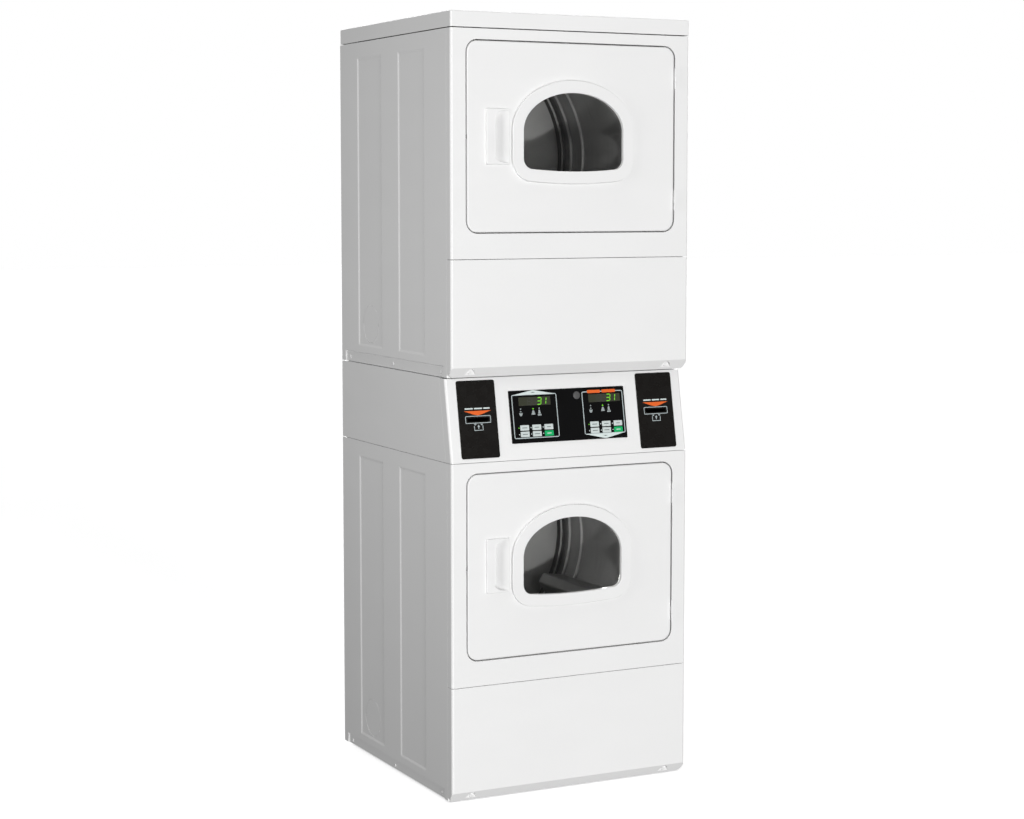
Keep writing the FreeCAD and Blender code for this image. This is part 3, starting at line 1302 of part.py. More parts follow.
def build():
    os.makedirs("parts", exist_ok=True)
    both = list(UNITS.values())

    save("base_frames", *[base_frame(unit) for unit in UNITS])
    save("levelling_legs", *levelling_legs())
    save("top_panel", top_panel())
    left = console_side()
    holes = rear_sites("lower")
    save("console_side_panels", drilled(left, holes), drilled(mirrored(left), holes))
    covers = [rear_panel(unit) for unit in UNITS]
    save("rear_panels", *covers, *[drilled(terminal_plate(b), terminal_screws(b)) for b in both])
    save("front_bulkheads", *[front_bulkhead(b) for b in both])
    save("rear_bulkheads", *[s for b in both for s in (rear_bulkhead(b), *roller_shafts(b))])
    save("drum_seals", *[s for b in both for s in drum_seals(b)])
    save("door_seals", *[door_seal(b) for b in both])
    save("cabinet_door_fittings", *[s for b in both for s in (*cabinet_hinges(b), door_catch(b))])
    save("blower_housings", *[s for u, b in UNITS.items() for s in (scroll_housing(u), lint_duct(b))])
    save("exhaust_ducts", *[exhaust_duct(b) for b in both])
    save("heater_boxes", *[heater_box(b) for b in both])
    save("drive_motors", *[s for unit in UNITS for s in motor(unit)])
    save("drive_belts", *[drive_belt(b) for b in both])

    sites = []
    for unit, base in UNITS.items():
        for side in foot_sites(base).values():
            sites += side
        sites += toe_sites(base) + rear_sites(unit) + terminal_screws(base)
    save("cabinet_screws", *[screw(point, outward) for point, outward in sites])

    for unit, base in UNITS.items():
        side_top = base + FRONT_TOP - GAP if unit == "lower" else UNIT_TOP[unit]
        save(unit + "_side_panels", *side_panels(unit, side_top))
        save(unit + "_front_panel", front_panel(base))
        save(unit + "_access_panel", access_panel(base))
        save(unit + "_door_outer_panel", door_outer_panel(base))
        save(unit + "_door_liner", door_liner(base))
        save(unit + "_door_window", door_window(base))
        save(unit + "_door_handle", door_handle(base))
        save(unit + "_door_hinges", *door_hinges(base))
        save(unit + "_drum", drum_shell(base), *[baffle(base, angle) for angle in (90, 210, 330)])
        save(unit + "_left_roller", roller(base, -1))
        save(unit + "_right_roller", roller(base, 1))
        save(unit + "_motor_rotor", *motor_rotor(base))
        save(unit + "_idler_arm", *idler_arm(base))
        save(unit + "_lint_filter", lint_filter(base))
        for number, (x, s) in enumerate(key_cells(unit), 1):
            save(f"{unit}_key_{number}", key(x, s))

    save("console_panel", console_panel())
    save("display_panel", *display_panel())
    save("control_board", control_board())
    save("card_readers", *card_reader(-PLATE_X), *card_reader(PLATE_X))


build()
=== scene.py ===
"""Two stacked tumble dryers: materials, console prints, light and camera round the CAD frame."""

import math

import bmesh
import bpy
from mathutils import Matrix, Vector

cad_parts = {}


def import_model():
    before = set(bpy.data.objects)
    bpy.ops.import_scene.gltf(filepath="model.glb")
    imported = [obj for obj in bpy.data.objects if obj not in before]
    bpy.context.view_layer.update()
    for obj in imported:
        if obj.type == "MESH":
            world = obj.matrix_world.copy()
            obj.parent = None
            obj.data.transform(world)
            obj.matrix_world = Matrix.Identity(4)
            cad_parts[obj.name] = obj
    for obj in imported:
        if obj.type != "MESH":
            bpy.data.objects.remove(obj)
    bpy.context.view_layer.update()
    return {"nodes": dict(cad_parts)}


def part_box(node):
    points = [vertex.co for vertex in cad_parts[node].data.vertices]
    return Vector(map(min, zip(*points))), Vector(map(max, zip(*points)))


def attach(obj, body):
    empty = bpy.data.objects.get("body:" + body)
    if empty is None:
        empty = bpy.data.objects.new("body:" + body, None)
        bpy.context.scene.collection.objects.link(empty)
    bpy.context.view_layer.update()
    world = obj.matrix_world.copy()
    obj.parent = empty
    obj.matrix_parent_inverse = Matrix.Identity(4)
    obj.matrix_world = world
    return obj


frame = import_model()

MM = 0.001

# The drums: how far apart they are, the height of the lower one's axis, and radii from an axis.
LOW_DRUM, HIGH_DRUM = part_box("lower_drum"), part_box("upper_drum")
PITCH = HIGH_DRUM[0].z - LOW_DRUM[0].z
DRUM_AXIS = (LOW_DRUM[0].z + LOW_DRUM[1].z) / 2
BEAD_CREST = LOW_DRUM[1].x - 6.2 * MM
COLLAR_RADIUS = LOW_DRUM[1].x - 11.0 * MM
COLLAR_LIP_Y = LOW_DRUM[1].y - 10.5 * MM

# ---------------------------------------------------------------- shader building


class Surface:
    """One material with a Principled shader, and short calls for the nodes that feed it."""

    def __init__(self, name, **sockets):
        self.material = bpy.data.materials.new(name)
        self.material.use_nodes = True
        self.tree = self.material.node_tree
        self.shader = self.tree.nodes["Principled BSDF"]
        self.place = self.node("ShaderNodeTexCoord").outputs["Object"]
        for socket, value in sockets.items():
            self.shader.inputs[socket.replace("_", " ")].default_value = value

    def node(self, kind, **settings):
        made = self.tree.nodes.new(kind)
        for key, value in settings.items():
            setattr(made, key, value)
        return made

    def wire(self, source, node, socket):
        self.tree.links.new(source, node.inputs[socket])

    def stretched(self, scale):
        """Object coordinates, scaled along each axis."""
        mapping = self.node("ShaderNodeMapping")
        mapping.inputs["Scale"].default_value = scale
        self.wire(self.place, mapping, "Vector")
        return mapping.outputs["Vector"]

    def noise(self, scale, detail=2.0, stretch=None):
        """A soft random pattern from 0 to 1, with scale repeats in a metre."""
        made = self.node("ShaderNodeTexNoise")
        made.inputs["Scale"].default_value = scale
        made.inputs["Detail"].default_value = detail
        self.wire(self.stretched(stretch) if stretch else self.place, made, "Vector")
        return made.outputs["Fac"]

    def cells(self, scale, output="Color", feature="F1", stretch=None):
        """A pattern of irregular cells, scale to a metre."""
        made = self.node("ShaderNodeTexVoronoi", feature=feature)
        made.inputs["Scale"].default_value = scale
        self.wire(self.stretched(stretch) if stretch else self.place, made, "Vector")
        return made.outputs[output]

    def spread(self, value, low, high, start=0.3, end=0.7):
        """Maps value from start..end to low..high, clamped."""
        made = self.node("ShaderNodeMapRange")
        made.inputs["From Min"].default_value = start
        made.inputs["From Max"].default_value = end
        made.inputs["To Min"].default_value = low
        made.inputs["To Max"].default_value = high
        self.wire(value, made, "Value")
        return made.outputs["Result"]

    def maths(self, operation, first, second):
        made = self.node("ShaderNodeMath", operation=operation)
        for socket, value in zip(made.inputs, (first, second)):
            if isinstance(value, (int, float)):
                socket.default_value = value
            else:
                self.tree.links.new(value, socket)
        return made.outputs[0]

    def axis(self, letter):
        """One object coordinate, in metres."""
        split = self.node("ShaderNodeSeparateXYZ")
        self.wire(self.place, split, "Vector")
        return split.outputs[letter]

    def from_axis(self):
        """Distance from the axis of the dryer's own drum, in metres, in either dryer."""
        up = self.maths("SUBTRACT", self.maths("FLOORED_MODULO", self.axis("Z"), PITCH), DRUM_AXIS)
        squares = [self.maths("MULTIPLY", offset, offset) for offset in (self.axis("X"), up)]
        return self.maths("POWER", self.maths("ADD", *squares), 0.5)

    def mix(self, factor, dark, light):
        """A colour between two colours or colour outputs."""
        made = self.node("ShaderNodeMix", data_type="RGBA")
        self.wire(factor, made, "Factor")
        for socket, value in ((made.inputs[6], dark), (made.inputs[7], light)):
            if isinstance(value, tuple):
                socket.default_value = (*value, 1.0)
            else:
                self.tree.links.new(value, socket)
        return made.outputs[2]

    def bump(self, height, strength, depth, under=None):
        """Adds relief of the given depth in metres, over another relief if one is given."""
        made = self.node("ShaderNodeBump")
        made.inputs["Strength"].default_value = strength
        made.inputs["Distance"].default_value = depth
        self.wire(height, made, "Height")
        if under is not None:
            self.wire(under, made, "Normal")
        self.wire(made.outputs["Normal"], self.shader, "Normal")
        return made.outputs["Normal"]

    def colour(self, output):
        self.wire(output, self.shader, "Base Color")

    def roughness(self, output):
        self.wire(output, self.shader, "Roughness")


def scaled(colour, by):
    return tuple(min(1.0, c * by) for c in colour)


# ---------------------------------------------------------------- materials


def enamel(name, tone):
    """Baked enamel: near-even white, orange peel in the gloss, and a few rubbed patches."""
    m = Surface(name, Coat_Weight=0.1, Coat_Roughness=0.2, IOR=1.5, Specular_IOR_Level=0.35)
    drift = m.spread(m.noise(2.4, 3), 0.0, 1.0)
    fleck = m.spread(m.noise(240, 3), 0.0, 1.0, 0.25, 0.75)
    base = m.mix(drift, scaled(tone, 0.985), tone)
    m.colour(m.mix(m.maths("MULTIPLY", fleck, 0.35), base, scaled(tone, 1.012)))
    rubbed = m.spread(m.noise(7.0, 6, (1.0, 1.0, 2.6)), 0.30, 0.42, 0.42, 0.68)
    m.roughness(rubbed)
    m.bump(m.noise(430, 2), 0.10, 0.0005)
    return m.material


def moulded(name, tone, grain=900, rough=(0.38, 0.5), depth=0.00008, gloss=0.5):
    """Moulded plastic with a fine spark-eroded grain."""
    m = Surface(name, IOR=1.46, Specular_IOR_Level=gloss)
    drift = m.spread(m.noise(9, 3), 0.0, 1.0)
    m.colour(m.mix(drift, scaled(tone, 0.95), scaled(tone, 1.02)))
    m.roughness(m.spread(m.noise(60, 4), *rough))
    m.bump(m.noise(grain, 3), 0.35, depth)
    return m.material


def black_sheet(name, tone, pitch, rough, depth):
    """Black printed film or coated plate with a fine pebbled face."""
    m = Surface(name, Specular_IOR_Level=0.2)
    pebble = m.cells(pitch, "Distance")
    speck = m.spread(m.noise(pitch * 0.8, 4), 0.0, 1.0, 0.45, 0.75)
    m.colour(m.mix(speck, tone, scaled(tone, 1.7)))
    m.roughness(m.spread(m.noise(45, 4), *rough))
    m.bump(pebble, 0.30, depth)
    return m.material


def drum_sheet(name, tone):
    """The drum's rolled sheet, with a painted highlight that lightens the crests of its hoop beads.
    """
    m = Surface(name, Metallic=0.55)
    lines = m.noise(1.0, 6, (7.0, 950.0, 7.0))
    streak = m.mix(m.spread(lines, 0.0, 1.0), scaled(tone, 0.84), scaled(tone, 1.05))
    radius = m.from_axis()
    # Painted highlight: the colour turns much lighter on the bead crests, standing in for light
    # catching them.
    crest_highlight = m.spread(radius, 1.0, 0.0, BEAD_CREST + 1.4 * MM, BEAD_CREST + 3.6 * MM)
    on_hoop = m.maths("GREATER_THAN", radius, BEAD_CREST - 1.2 * MM)
    m.colour(m.mix(m.maths("MULTIPLY", crest_highlight, on_hoop), streak, scaled(tone, 2.4)))
    m.roughness(m.spread(lines, 0.26, 0.42))
    m.bump(lines, 0.4, 0.00006)
    return m.material


def back_wall(name):
    """The rear bulkheads: satin zinc, with painted shade as a near-black ring round the collar of
    the drum's seal.
    """
    m = Surface(name, Metallic=0.35)
    cloud = m.spread(m.noise(11, 4), 0.0, 1.0)
    metal = m.mix(cloud, (0.55, 0.55, 0.55), (0.61, 0.61, 0.61))
    # Painted shade: near-black just outside the collar's radius and behind its lip, standing in for
    # the shadow in the gap between wall and drum.
    painted_shade_ring = m.spread(m.from_axis(), 0.0, 1.0, COLLAR_RADIUS - 3.0 * MM, COLLAR_RADIUS - 1.0 * MM)
    behind = m.maths("GREATER_THAN", m.axis("Y"), COLLAR_LIP_Y)
    m.colour(m.mix(m.maths("MULTIPLY", painted_shade_ring, behind), metal, (0.02, 0.02, 0.02)))
    m.roughness(m.spread(cloud, 0.42, 0.54))
    m.bump(m.noise(330, 4), 0.12, 0.00015)
    return m.material


def galvanised(name):
    """Hot-dipped zinc: crystal spangle with a slightly different grey in each cell."""
    m = Surface(name, Metallic=0.85)
    grains = m.cells(55, "Color", stretch=(1.0, 1.0, 1.35))
    fine = m.noise(330, 4)
    shade = m.node("ShaderNodeRGBToBW")
    m.wire(grains, shade, "Color")
    cell = m.spread(shade.outputs["Val"], 0.0, 1.0, 0.2, 0.8)
    metal = m.mix(cell, (0.47, 0.485, 0.50), (0.66, 0.675, 0.685))
    m.colour(m.mix(m.spread(m.noise(4, 3), 0.0, 0.5), metal, (0.50, 0.51, 0.52)))
    m.roughness(m.spread(shade.outputs["Val"], 0.38, 0.56, 0.2, 0.8))
    edges = m.cells(55, "Distance", stretch=(1.0, 1.0, 1.35))
    m.bump(edges, 0.08, 0.0004, m.bump(fine, 0.12, 0.00015))
    return m.material


def plated(name):
    """Zinc-plated steel of screws, shafts and feet, a little rubbed."""
    m = Surface(name, Metallic=0.6)
    patch = m.spread(m.noise(85, 4), 0.0, 1.0)
    m.colour(m.mix(patch, (0.70, 0.70, 0.69), (0.86, 0.86, 0.84)))
    m.roughness(m.spread(m.noise(140, 4), 0.24, 0.42))
    m.bump(m.noise(1500, 2), 0.2, 0.00006)
    return m.material


def fittings(name, tone):
    """Enamelled hinge halves at the right of the door wells, and the dark catch at their left."""
    m = Surface(name)
    side = m.maths("GREATER_THAN", m.axis("X"), 0.0)
    patch = m.spread(m.noise(85, 4), 0.0, 1.0)
    hinge = m.mix(patch, scaled(tone, 0.985), tone)
    latch = m.mix(patch, (0.012, 0.012, 0.013), (0.022, 0.022, 0.024))
    m.colour(m.mix(side, latch, hinge))
    m.roughness(m.spread(m.noise(140, 4), 0.30, 0.42))
    m.bump(m.noise(430, 2), 0.10, 0.0005)
    return m.material


def motor_paint(name):
    """Dipped black paint over the motor's shell and laminations."""
    m = Surface(name, Coat_Weight=0.2, Coat_Roughness=0.3)
    patch = m.spread(m.noise(30, 5), 0.0, 1.0)
    m.colour(m.mix(patch, (0.022, 0.022, 0.024), (0.05, 0.05, 0.053)))
    m.roughness(m.spread(m.noise(80, 4), 0.32, 0.55))
    m.bump(m.noise(700, 3), 0.3, 0.00015)
    return m.material


def rubber(name):
    """Moulded rubber with a dull bloom."""
    m = Surface(name)
    bloom = m.spread(m.noise(28, 5), 0.0, 1.0)
    m.colour(m.mix(bloom, (0.018, 0.018, 0.019), (0.042, 0.041, 0.040)))
    m.roughness(m.spread(m.noise(120, 4), 0.62, 0.82))
    m.bump(m.noise(1100, 3), 0.4, 0.00012)
    return m.material


def felt(name):
    """Pressed black felt: tangled fibres, dull, slightly fuzzy."""
    m = Surface(name, Sheen_Weight=0.1, Sheen_Roughness=0.5)
    fibre = m.noise(520, 8, (1.0, 1.6, 1.0))
    m.colour(m.mix(m.spread(fibre, 0.0, 1.0), (0.016, 0.016, 0.017), (0.045, 0.044, 0.043)))
    m.roughness(m.spread(fibre, 0.86, 0.98))
    m.bump(fibre, 0.8, 0.0006)
    return m.material


def circuit(name):
    """Green solder mask with copper tracks showing through as lighter lines."""
    m = Surface(name, Coat_Weight=0.5, Coat_Roughness=0.2)
    tracks = m.cells(160, "Distance", "DISTANCE_TO_EDGE", (1.0, 1.0, 1.0))
    line = m.spread(tracks, 1.0, 0.0, 0.02, 0.05)
    drift = m.spread(m.noise(20, 3), 0.0, 1.0)
    mask = m.mix(drift, (0.010, 0.085, 0.035), (0.014, 0.115, 0.05))
    m.colour(m.mix(line, mask, (0.045, 0.22, 0.10)))
    m.roughness(m.spread(m.noise(90, 3), 0.35, 0.5))
    m.bump(line, 0.25, 0.0001)
    return m.material


def pane(name):
    """Tinted safety glass: a clear grey with a mirror that grows towards grazing angles."""
    m = Surface(name)
    clear = m.node("ShaderNodeBsdfTransparent")
    clear.inputs["Color"].default_value = (0.80, 0.80, 0.79, 1.0)
    gloss = m.node("ShaderNodeBsdfGlossy")
    gloss.inputs["Color"].default_value = (1.0, 1.0, 1.0, 1.0)
    m.wire(m.spread(m.noise(14, 4), 0.015, 0.05), gloss, "Roughness")
    fresnel = m.node("ShaderNodeFresnel")
    fresnel.inputs["IOR"].default_value = 1.45
    blend = m.node("ShaderNodeMixShader")
    m.wire(fresnel.outputs[0], blend, 0)
    m.tree.links.new(clear.outputs[0], blend.inputs[1])
    m.tree.links.new(gloss.outputs[0], blend.inputs[2])
    out = m.tree.nodes["Material Output"]
    m.tree.links.new(blend.outputs[0], out.inputs["Surface"])
    m.tree.nodes.remove(m.shader)
    return m.material


def ink(name, tone, rough=(0.42, 0.56)):
    """Screen-printed ink: a thin film with an uneven edge-to-edge cover."""
    m = Surface(name, Specular_IOR_Level=0.2)
    cover = m.spread(m.noise(700, 4), 0.0, 1.0)
    m.colour(m.mix(cover, scaled(tone, 0.9), scaled(tone, 1.05)))
    m.roughness(m.spread(m.noise(300, 3), *rough))
    m.bump(m.noise(1300, 2), 0.25, 0.00004)
    return m.material


def lit(name, tone, strength):
    """A lit display segment or lamp."""
    m = Surface(name, Roughness=0.4, Emission_Strength=strength)
    m.shader.inputs["Emission Color"].default_value = (*tone, 1.0)
    m.colour(m.mix(m.spread(m.noise(500, 2), 0.0, 1.0), scaled(tone, 0.75), tone))
    m.bump(m.noise(900, 2), 0.15, 0.00004)
    return m.material


WHITE = (0.845, 0.845, 0.843)
MATERIALS = {
    "white_enamel": enamel("White enamel", WHITE),
    "white_plastic": moulded("White plastic", (0.85, 0.85, 0.848), 800, (0.34, 0.46)),
    "tinted_glass": pane("Window glass"),
    "drum_steel": drum_sheet("Beaded drum sheet", (0.33, 0.33, 0.33)),
    "galvanised_steel": galvanised("Galvanised sheet"),
    "plated_steel": plated("Zinc plate"),
    "motor_steel": motor_paint("Motor paint"),
    "black_plate": black_sheet("Black plate", (0.0078, 0.0069, 0.0062), 900, (0.24, 0.32), 0.00005),
    "black_overlay": black_sheet(
        "Black overlay", (0.0038, 0.0038, 0.0040), 1300, (0.13, 0.20), 0.00003
    ),
    "grey_key": moulded("Grey key", (0.60, 0.66, 0.65), 1400, gloss=0.2),
    "green_key": moulded("Green key", (0.012, 0.42, 0.13), 1400, gloss=0.15),
    "grey_plastic": moulded("Grey plastic", (0.17, 0.175, 0.18), 650, (0.45, 0.6), 0.0001),
    "circuit_board": circuit("Circuit board"),
    "black_rubber": rubber("Black rubber"),
    "felt": felt("Pressed felt"),
}
INK_FRAME = ink("Frame ink", (0.46, 0.52, 0.53))
INK_GREY = ink("Grey ink", (0.34, 0.38, 0.38))
INK_PALE = ink("Pale ink", (0.68, 0.76, 0.75))
INK_DARK = ink("Dark ink", (0.16, 0.19, 0.19))
INK_ORANGE = ink("Orange ink", (0.80, 0.135, 0.022))
SMOKED = ink("Smoked display window", (0.040, 0.043, 0.028), (0.3, 0.4))
DULL_SEGMENT = ink("Unlit segment", (0.058, 0.060, 0.052), (0.2, 0.3))
LENS_GREY = moulded("Lens grey", (0.10, 0.10, 0.10), 1200, (0.2, 0.32), gloss=0.3)
LIT_GREEN = lit("Lit green", (0.14, 0.52, 0.02), 0.55)
FITTINGS = fittings("Door fittings", WHITE)
BACK_WALL = back_wall("Back wall sheet")
SPECIAL = {"cabinet_door_fittings": FITTINGS, "rear_bulkheads": BACK_WALL}


def dress(node, material):
    """Gives a CAD node its material through the object's own slots."""
    piece = frame["nodes"][node]
    for slot in piece.material_slots:
        slot.link = "OBJECT"
        slot.material = material


for name, piece in frame["nodes"].items():
    first = piece.data.materials[0].name.split(".")[0]
    dress(name, SPECIAL.get(name, MATERIALS[first]))


# ---------------------------------------------------------------- console prints

FRONT_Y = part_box("lower_access_panel")[0].y
CONSOLE_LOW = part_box("console_panel")[0].z - 0.6 * MM
CONSOLE_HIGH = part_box("console_panel")[1].z
SETBACK = 40.0 * MM
SLOPE = math.hypot(SETBACK, CONSOLE_HIGH - CONSOLE_LOW)
LEAN, RISE = SETBACK / SLOPE, (CONSOLE_HIGH - CONSOLE_LOW) / SLOPE
OVERLAY_FACE = 1.2
PLATE_FACE = 2.0
KEY_FACE = 1.8
PRINT_BITE = 0.05


def on_console(x, s, n):
    """A point x across, s up the slope and n out of it, in millimetres, in the model's frame."""
    x, s, n = x * MM, s * MM, n * MM
    return Vector((x, FRONT_Y + s * LEAN - n * RISE, CONSOLE_LOW + s * RISE + n * LEAN))


def rect(x0, x1, s0, s1, radius=0.0, steps=5):
    """A rectangle's outline, with rounded corners if a radius is given."""
    if not radius:
        return [(x0, s0), (x1, s0), (x1, s1), (x0, s1)]
    corners = ((x1, s0, -90), (x1, s1, 0), (x0, s1, 90), (x0, s0, 180))
    loop = []
    for x, s, start in corners:
        cx = x - radius if x == x1 else x + radius
        cs = s - radius if s == s1 else s + radius
        for i in range(steps + 1):
            angle = math.radians(start + 90 * i / steps)
            loop.append((cx + radius * math.cos(angle), cs + radius * math.sin(angle)))
    return loop


def disc(x, s, radius, steps=24):
    turn = [2 * math.pi * i / steps for i in range(steps)]
    return [(x + radius * math.cos(a), s + radius * math.sin(a)) for a in turn]


def bar(x0, x1, s0, s1, width, radius=1.0):
    """A frame's outline: an outer and an inner loop, width apart."""
    inner = rect(x0 + width, x1 - width, s0 + width, s1 - width, max(radius - width, 0.4))
    return rect(x0, x1, s0, s1, radius), inner


def printed(name, shapes, face, height, material, body="cabinet"):
    """A thin raised print on a face. A shape is one loop, or an outer and an inner loop."""
    low, high = face - PRINT_BITE, face + height
    mesh = bmesh.new()
    for shape in shapes:
        ring = isinstance(shape, tuple)
        loops = shape if ring else (shape,)
        layers = []
        for loop in loops:
            below = [mesh.verts.new(on_console(x, s, low)) for x, s in loop]
            above = [mesh.verts.new(on_console(x, s, high)) for x, s in loop]
            layers.append((below, above))
        count = len(loops[0])
        for index, (below, above) in enumerate(layers):
            for i in range(count):
                j = (i + 1) % count
                side = (below[i], below[j], above[j], above[i])
                mesh.faces.new(side if index == 0 else tuple(reversed(side)))
        if ring:
            (low_out, high_out), (low_in, high_in) = layers
            for i in range(count):
                j = (i + 1) % count
                mesh.faces.new((high_out[i], high_out[j], high_in[j], high_in[i]))
                mesh.faces.new((low_out[j], low_out[i], low_in[i], low_in[j]))
        else:
            below, above = layers[0]
            mesh.faces.new(above)
            mesh.faces.new(tuple(reversed(below)))
    return finished(name, mesh, material, body)


def finished(name, mesh, material, body):
    """Turns a bmesh into a piece that rides on a body."""
    bmesh.ops.recalc_face_normals(mesh, faces=mesh.faces)
    data = bpy.data.meshes.new(name)
    mesh.to_mesh(data)
    mesh.free()
    piece = bpy.data.objects.new(name, data)
    bpy.context.scene.collection.objects.link(piece)
    data.materials.append(material)
    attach(piece, body)
    return piece


SEGMENTS = {
    "3": "abcdg",
    "1": "bc",
    "8": "abcdefg",
}
DIGIT_LEAN = 0.14
SEGMENT_GAP = 0.45


def digit(x, s, character, width=11.0, height=17.0, stroke=2.3):
    """The lit strokes of a slanted seven-segment digit, its lower left corner at (x, s)."""
    half = height / 2
    spans = {
        "a": ((0, height), (width, height)),
        "b": ((width, height), (width, half)),
        "c": ((width, half), (width, 0)),
        "d": ((0, 0), (width, 0)),
        "e": ((0, half), (0, 0)),
        "f": ((0, height), (0, half)),
        "g": ((0, half), (width, half)),
    }
    shapes = []
    for letter in SEGMENTS[character]:
        (u0, v0), (u1, v1) = spans[letter]
        length = math.hypot(u1 - u0, v1 - v0)
        ux, uy = (u1 - u0) / length, (v1 - v0) / length
        t = stroke / 2
        near, far = SEGMENT_GAP, length - SEGMENT_GAP
        corners = ((near, 0), (near + t, -t), (far - t, -t), (far, 0), (far - t, t), (near + t, t))
        outline = []
        for along, across in corners:
            u = u0 + ux * along - uy * across
            v = v0 + uy * along + ux * across
            outline.append((x + u + v * DIGIT_LEAN, s + v))
        shapes.append(outline)
    return shapes


def lamp_icons(x, s):
    """Three small pictures under a display: a bowl, a skirt and a bottle, each below a lamp."""
    bowl = [
        disc(x - 41.7, s + 2.0, 1.7, 16),
        rect(x - 43.6, x - 39.8, s - 6.2, s - 3.4, 0.9),
        [(x - 46.6, s - 8.6), (x - 45.6, s - 13.4), (x - 42.6, s - 16.6), (x - 40.8, s - 16.6),
         (x - 37.8, s - 13.4), (x - 36.8, s - 8.6)],
    ]
    skirt = [[(x - 7.8, s - 2.6), (x - 4.6, s - 2.6), (x - 0.6, s - 13.6), (x - 11.8, s - 13.6)]]
    bottle = [
        disc(x + 11.3, s + 2.0, 1.7, 16),
        [(x + 9.0, s - 2.2), (x + 13.2, s - 2.2), (x + 14.8, s - 12.0), (x + 7.6, s - 12.0)],
        rect(x + 6.0, x + 16.6, s - 16.8, s - 13.0, 0.8),
    ]
    return bowl + skirt + bottle, [disc(x - 6.2, s + 1.2, 1.9, 16)]


# Key column centre, frame box, peak of the wedge, display window, left ends of the two digits.
DISPLAYS = {
    "upper": (
        -94.8,
        (-160.3, -31.0, 53.7, 166.3),
        (-98.0, 176.1),
        (-140.6, -49.5, 137.4, 159.0),
        (-88.5, -74.5),
    ),
    "lower": (
        107.7,
        (42.5, 163.0, 55.0, 166.5),
        (102.7, 43.7),
        (61.5, 154.4, 138.0, 158.6),
        (113.0, 127.0),
    ),
}
KEY_PITCH_X, KEY_ROWS = 34.5, (81.0, 64.6)
KEY_LAMP_OFFSET = 16.2
KEY_LEGENDS = (14.0, 13.0, 11.0, 14.5, 15.0, 12.0)  # widths of the bars on keys 1 to 6
ICON_ROW = 127.5

for unit, (centre, box, peak, window, digits) in DISPLAYS.items():
    x0, x1, s0, s1 = box
    face = OVERLAY_FACE
    printed(f"{unit}_frame_print", [bar(x0, x1, s0, s1, 2.3, 5.0)], face, 0.08, INK_FRAME)
    at_top = peak[1] > s1
    edge = s1 - 1.2 if at_top else s0 + 1.2
    peak_x, peak_s = peak
    wedge = [
        (x0 + 3.0, edge),
        (peak_x - 3.0, peak_s),
        (peak_x + 3.0, peak_s),
        (x1 - 3.0, edge),
    ]
    printed(f"{unit}_wedge_print", [wedge], face, 0.12, INK_PALE)
    tip = 2.6 if at_top else -2.6
    middle = (peak_s + edge) / 2
    foot = middle - tip / 2
    arrow = [(peak_x - 6.5, foot), (peak_x + 6.5, foot), (peak_x, middle + tip / 2)]
    printed(f"{unit}_arrow_print", [arrow], face, 0.16, INK_DARK)
    wx0, wx1, ws0, ws1 = window
    printed(f"{unit}_display_window", [rect(wx0, wx1, ws0, ws1, 1.2)], face, 0.10, SMOKED)
    pitch = digits[1] - digits[0]
    idle = [digits[0] - 2 * pitch, digits[0] - pitch]
    digit_foot = ws0 + 2.0
    dull = [shape for x in idle for shape in digit(x, digit_foot, "8")]
    printed(f"{unit}_idle_digits", dull, face, 0.13, DULL_SEGMENT)
    shown = digit(digits[0], digit_foot, "3") + digit(digits[1], digit_foot, "1")
    printed(f"{unit}_lit_digits", shown, face, 0.16, LIT_GREEN)
    pictures, lamps = lamp_icons(centre, ICON_ROW)
    printed(f"{unit}_icon_prints", pictures, face, 0.10, INK_GREY)
    marks = []
    for row in KEY_ROWS:
        for column in (-1, 0, 1):
            lamp_x = centre + KEY_PITCH_X * column - KEY_LAMP_OFFSET
            marks.append(disc(lamp_x, row, 1.35, 14))
    printed(f"{unit}_key_lamps", marks[1:], face, 0.12, INK_PALE)
    printed(f"{unit}_lit_lamps", [marks[0], *lamps], face, 0.14, LIT_GREEN)
    for number, width in enumerate(KEY_LEGENDS, 1):
        x = centre + KEY_PITCH_X * ((number - 1) % 3 - 1)
        s = KEY_ROWS[(number - 1) // 3]
        legend = [rect(x - width / 2, x + width / 2, s - 1.0, s + 1.0, 0.5)]
        shade = INK_PALE if number == 6 else INK_DARK
        body = f"{unit}_key_{number}"
        printed(f"{body}_legend", legend, KEY_FACE, 0.06, shade, body)

title = [rect(x0, x1, 161.8, 169.8, 1.6) for x0, x1 in ((59.0, 97.0), (102.0, 142.0))]
printed("title_bars_print", title, OVERLAY_FACE, 0.14, INK_ORANGE)

PLATE_CENTRES = {"left": -258.5, "right": 258.5}
CAPTION_WORDS = ((-35.0, -12.5), (-9.0, 13.0), (16.5, 35.0))
for side, x in PLATE_CENTRES.items():
    pointer = [
        (x - 38.0, 130.6),
        (x + 38.0, 130.6),
        (x + 12.0, 121.6),
        (x, 118.8),
        (x - 12.0, 121.6),
    ]
    caption = [rect(x + a, x + b, 134.6, 138.0, 0.8) for a, b in CAPTION_WORDS]
    slot_line = bar(x - 35.6, x + 35.6, 98.9, 118.1, 1.7, 3.0)
    card = [
        rect(x - 12.6, x - 11.0, 82.0, 93.0),
        rect(x + 11.0, x + 12.6, 82.0, 93.0),
        rect(x - 12.6, x + 12.6, 80.6, 82.2),
        [(x - 13.0, 97.4), (x - 5.0, 97.4), (x - 9.0, 93.6)],
        [(x + 5.0, 97.4), (x + 13.0, 97.4), (x + 9.0, 93.6)],
        [(x - 3.6, 89.6), (x + 3.6, 89.6), (x, 95.6)],
        rect(x - 1.1, x + 1.1, 85.0, 89.8),
    ]
    plate_prints = (
        ("pointer", [pointer], INK_ORANGE),
        ("caption", caption, INK_PALE),
        ("slot", [slot_line], INK_FRAME),
        ("card", card, INK_FRAME),
    )
    for name, shapes, shade in plate_prints:
        printed(f"{side}_{name}_print", shapes, PLATE_FACE, 0.10, shade)


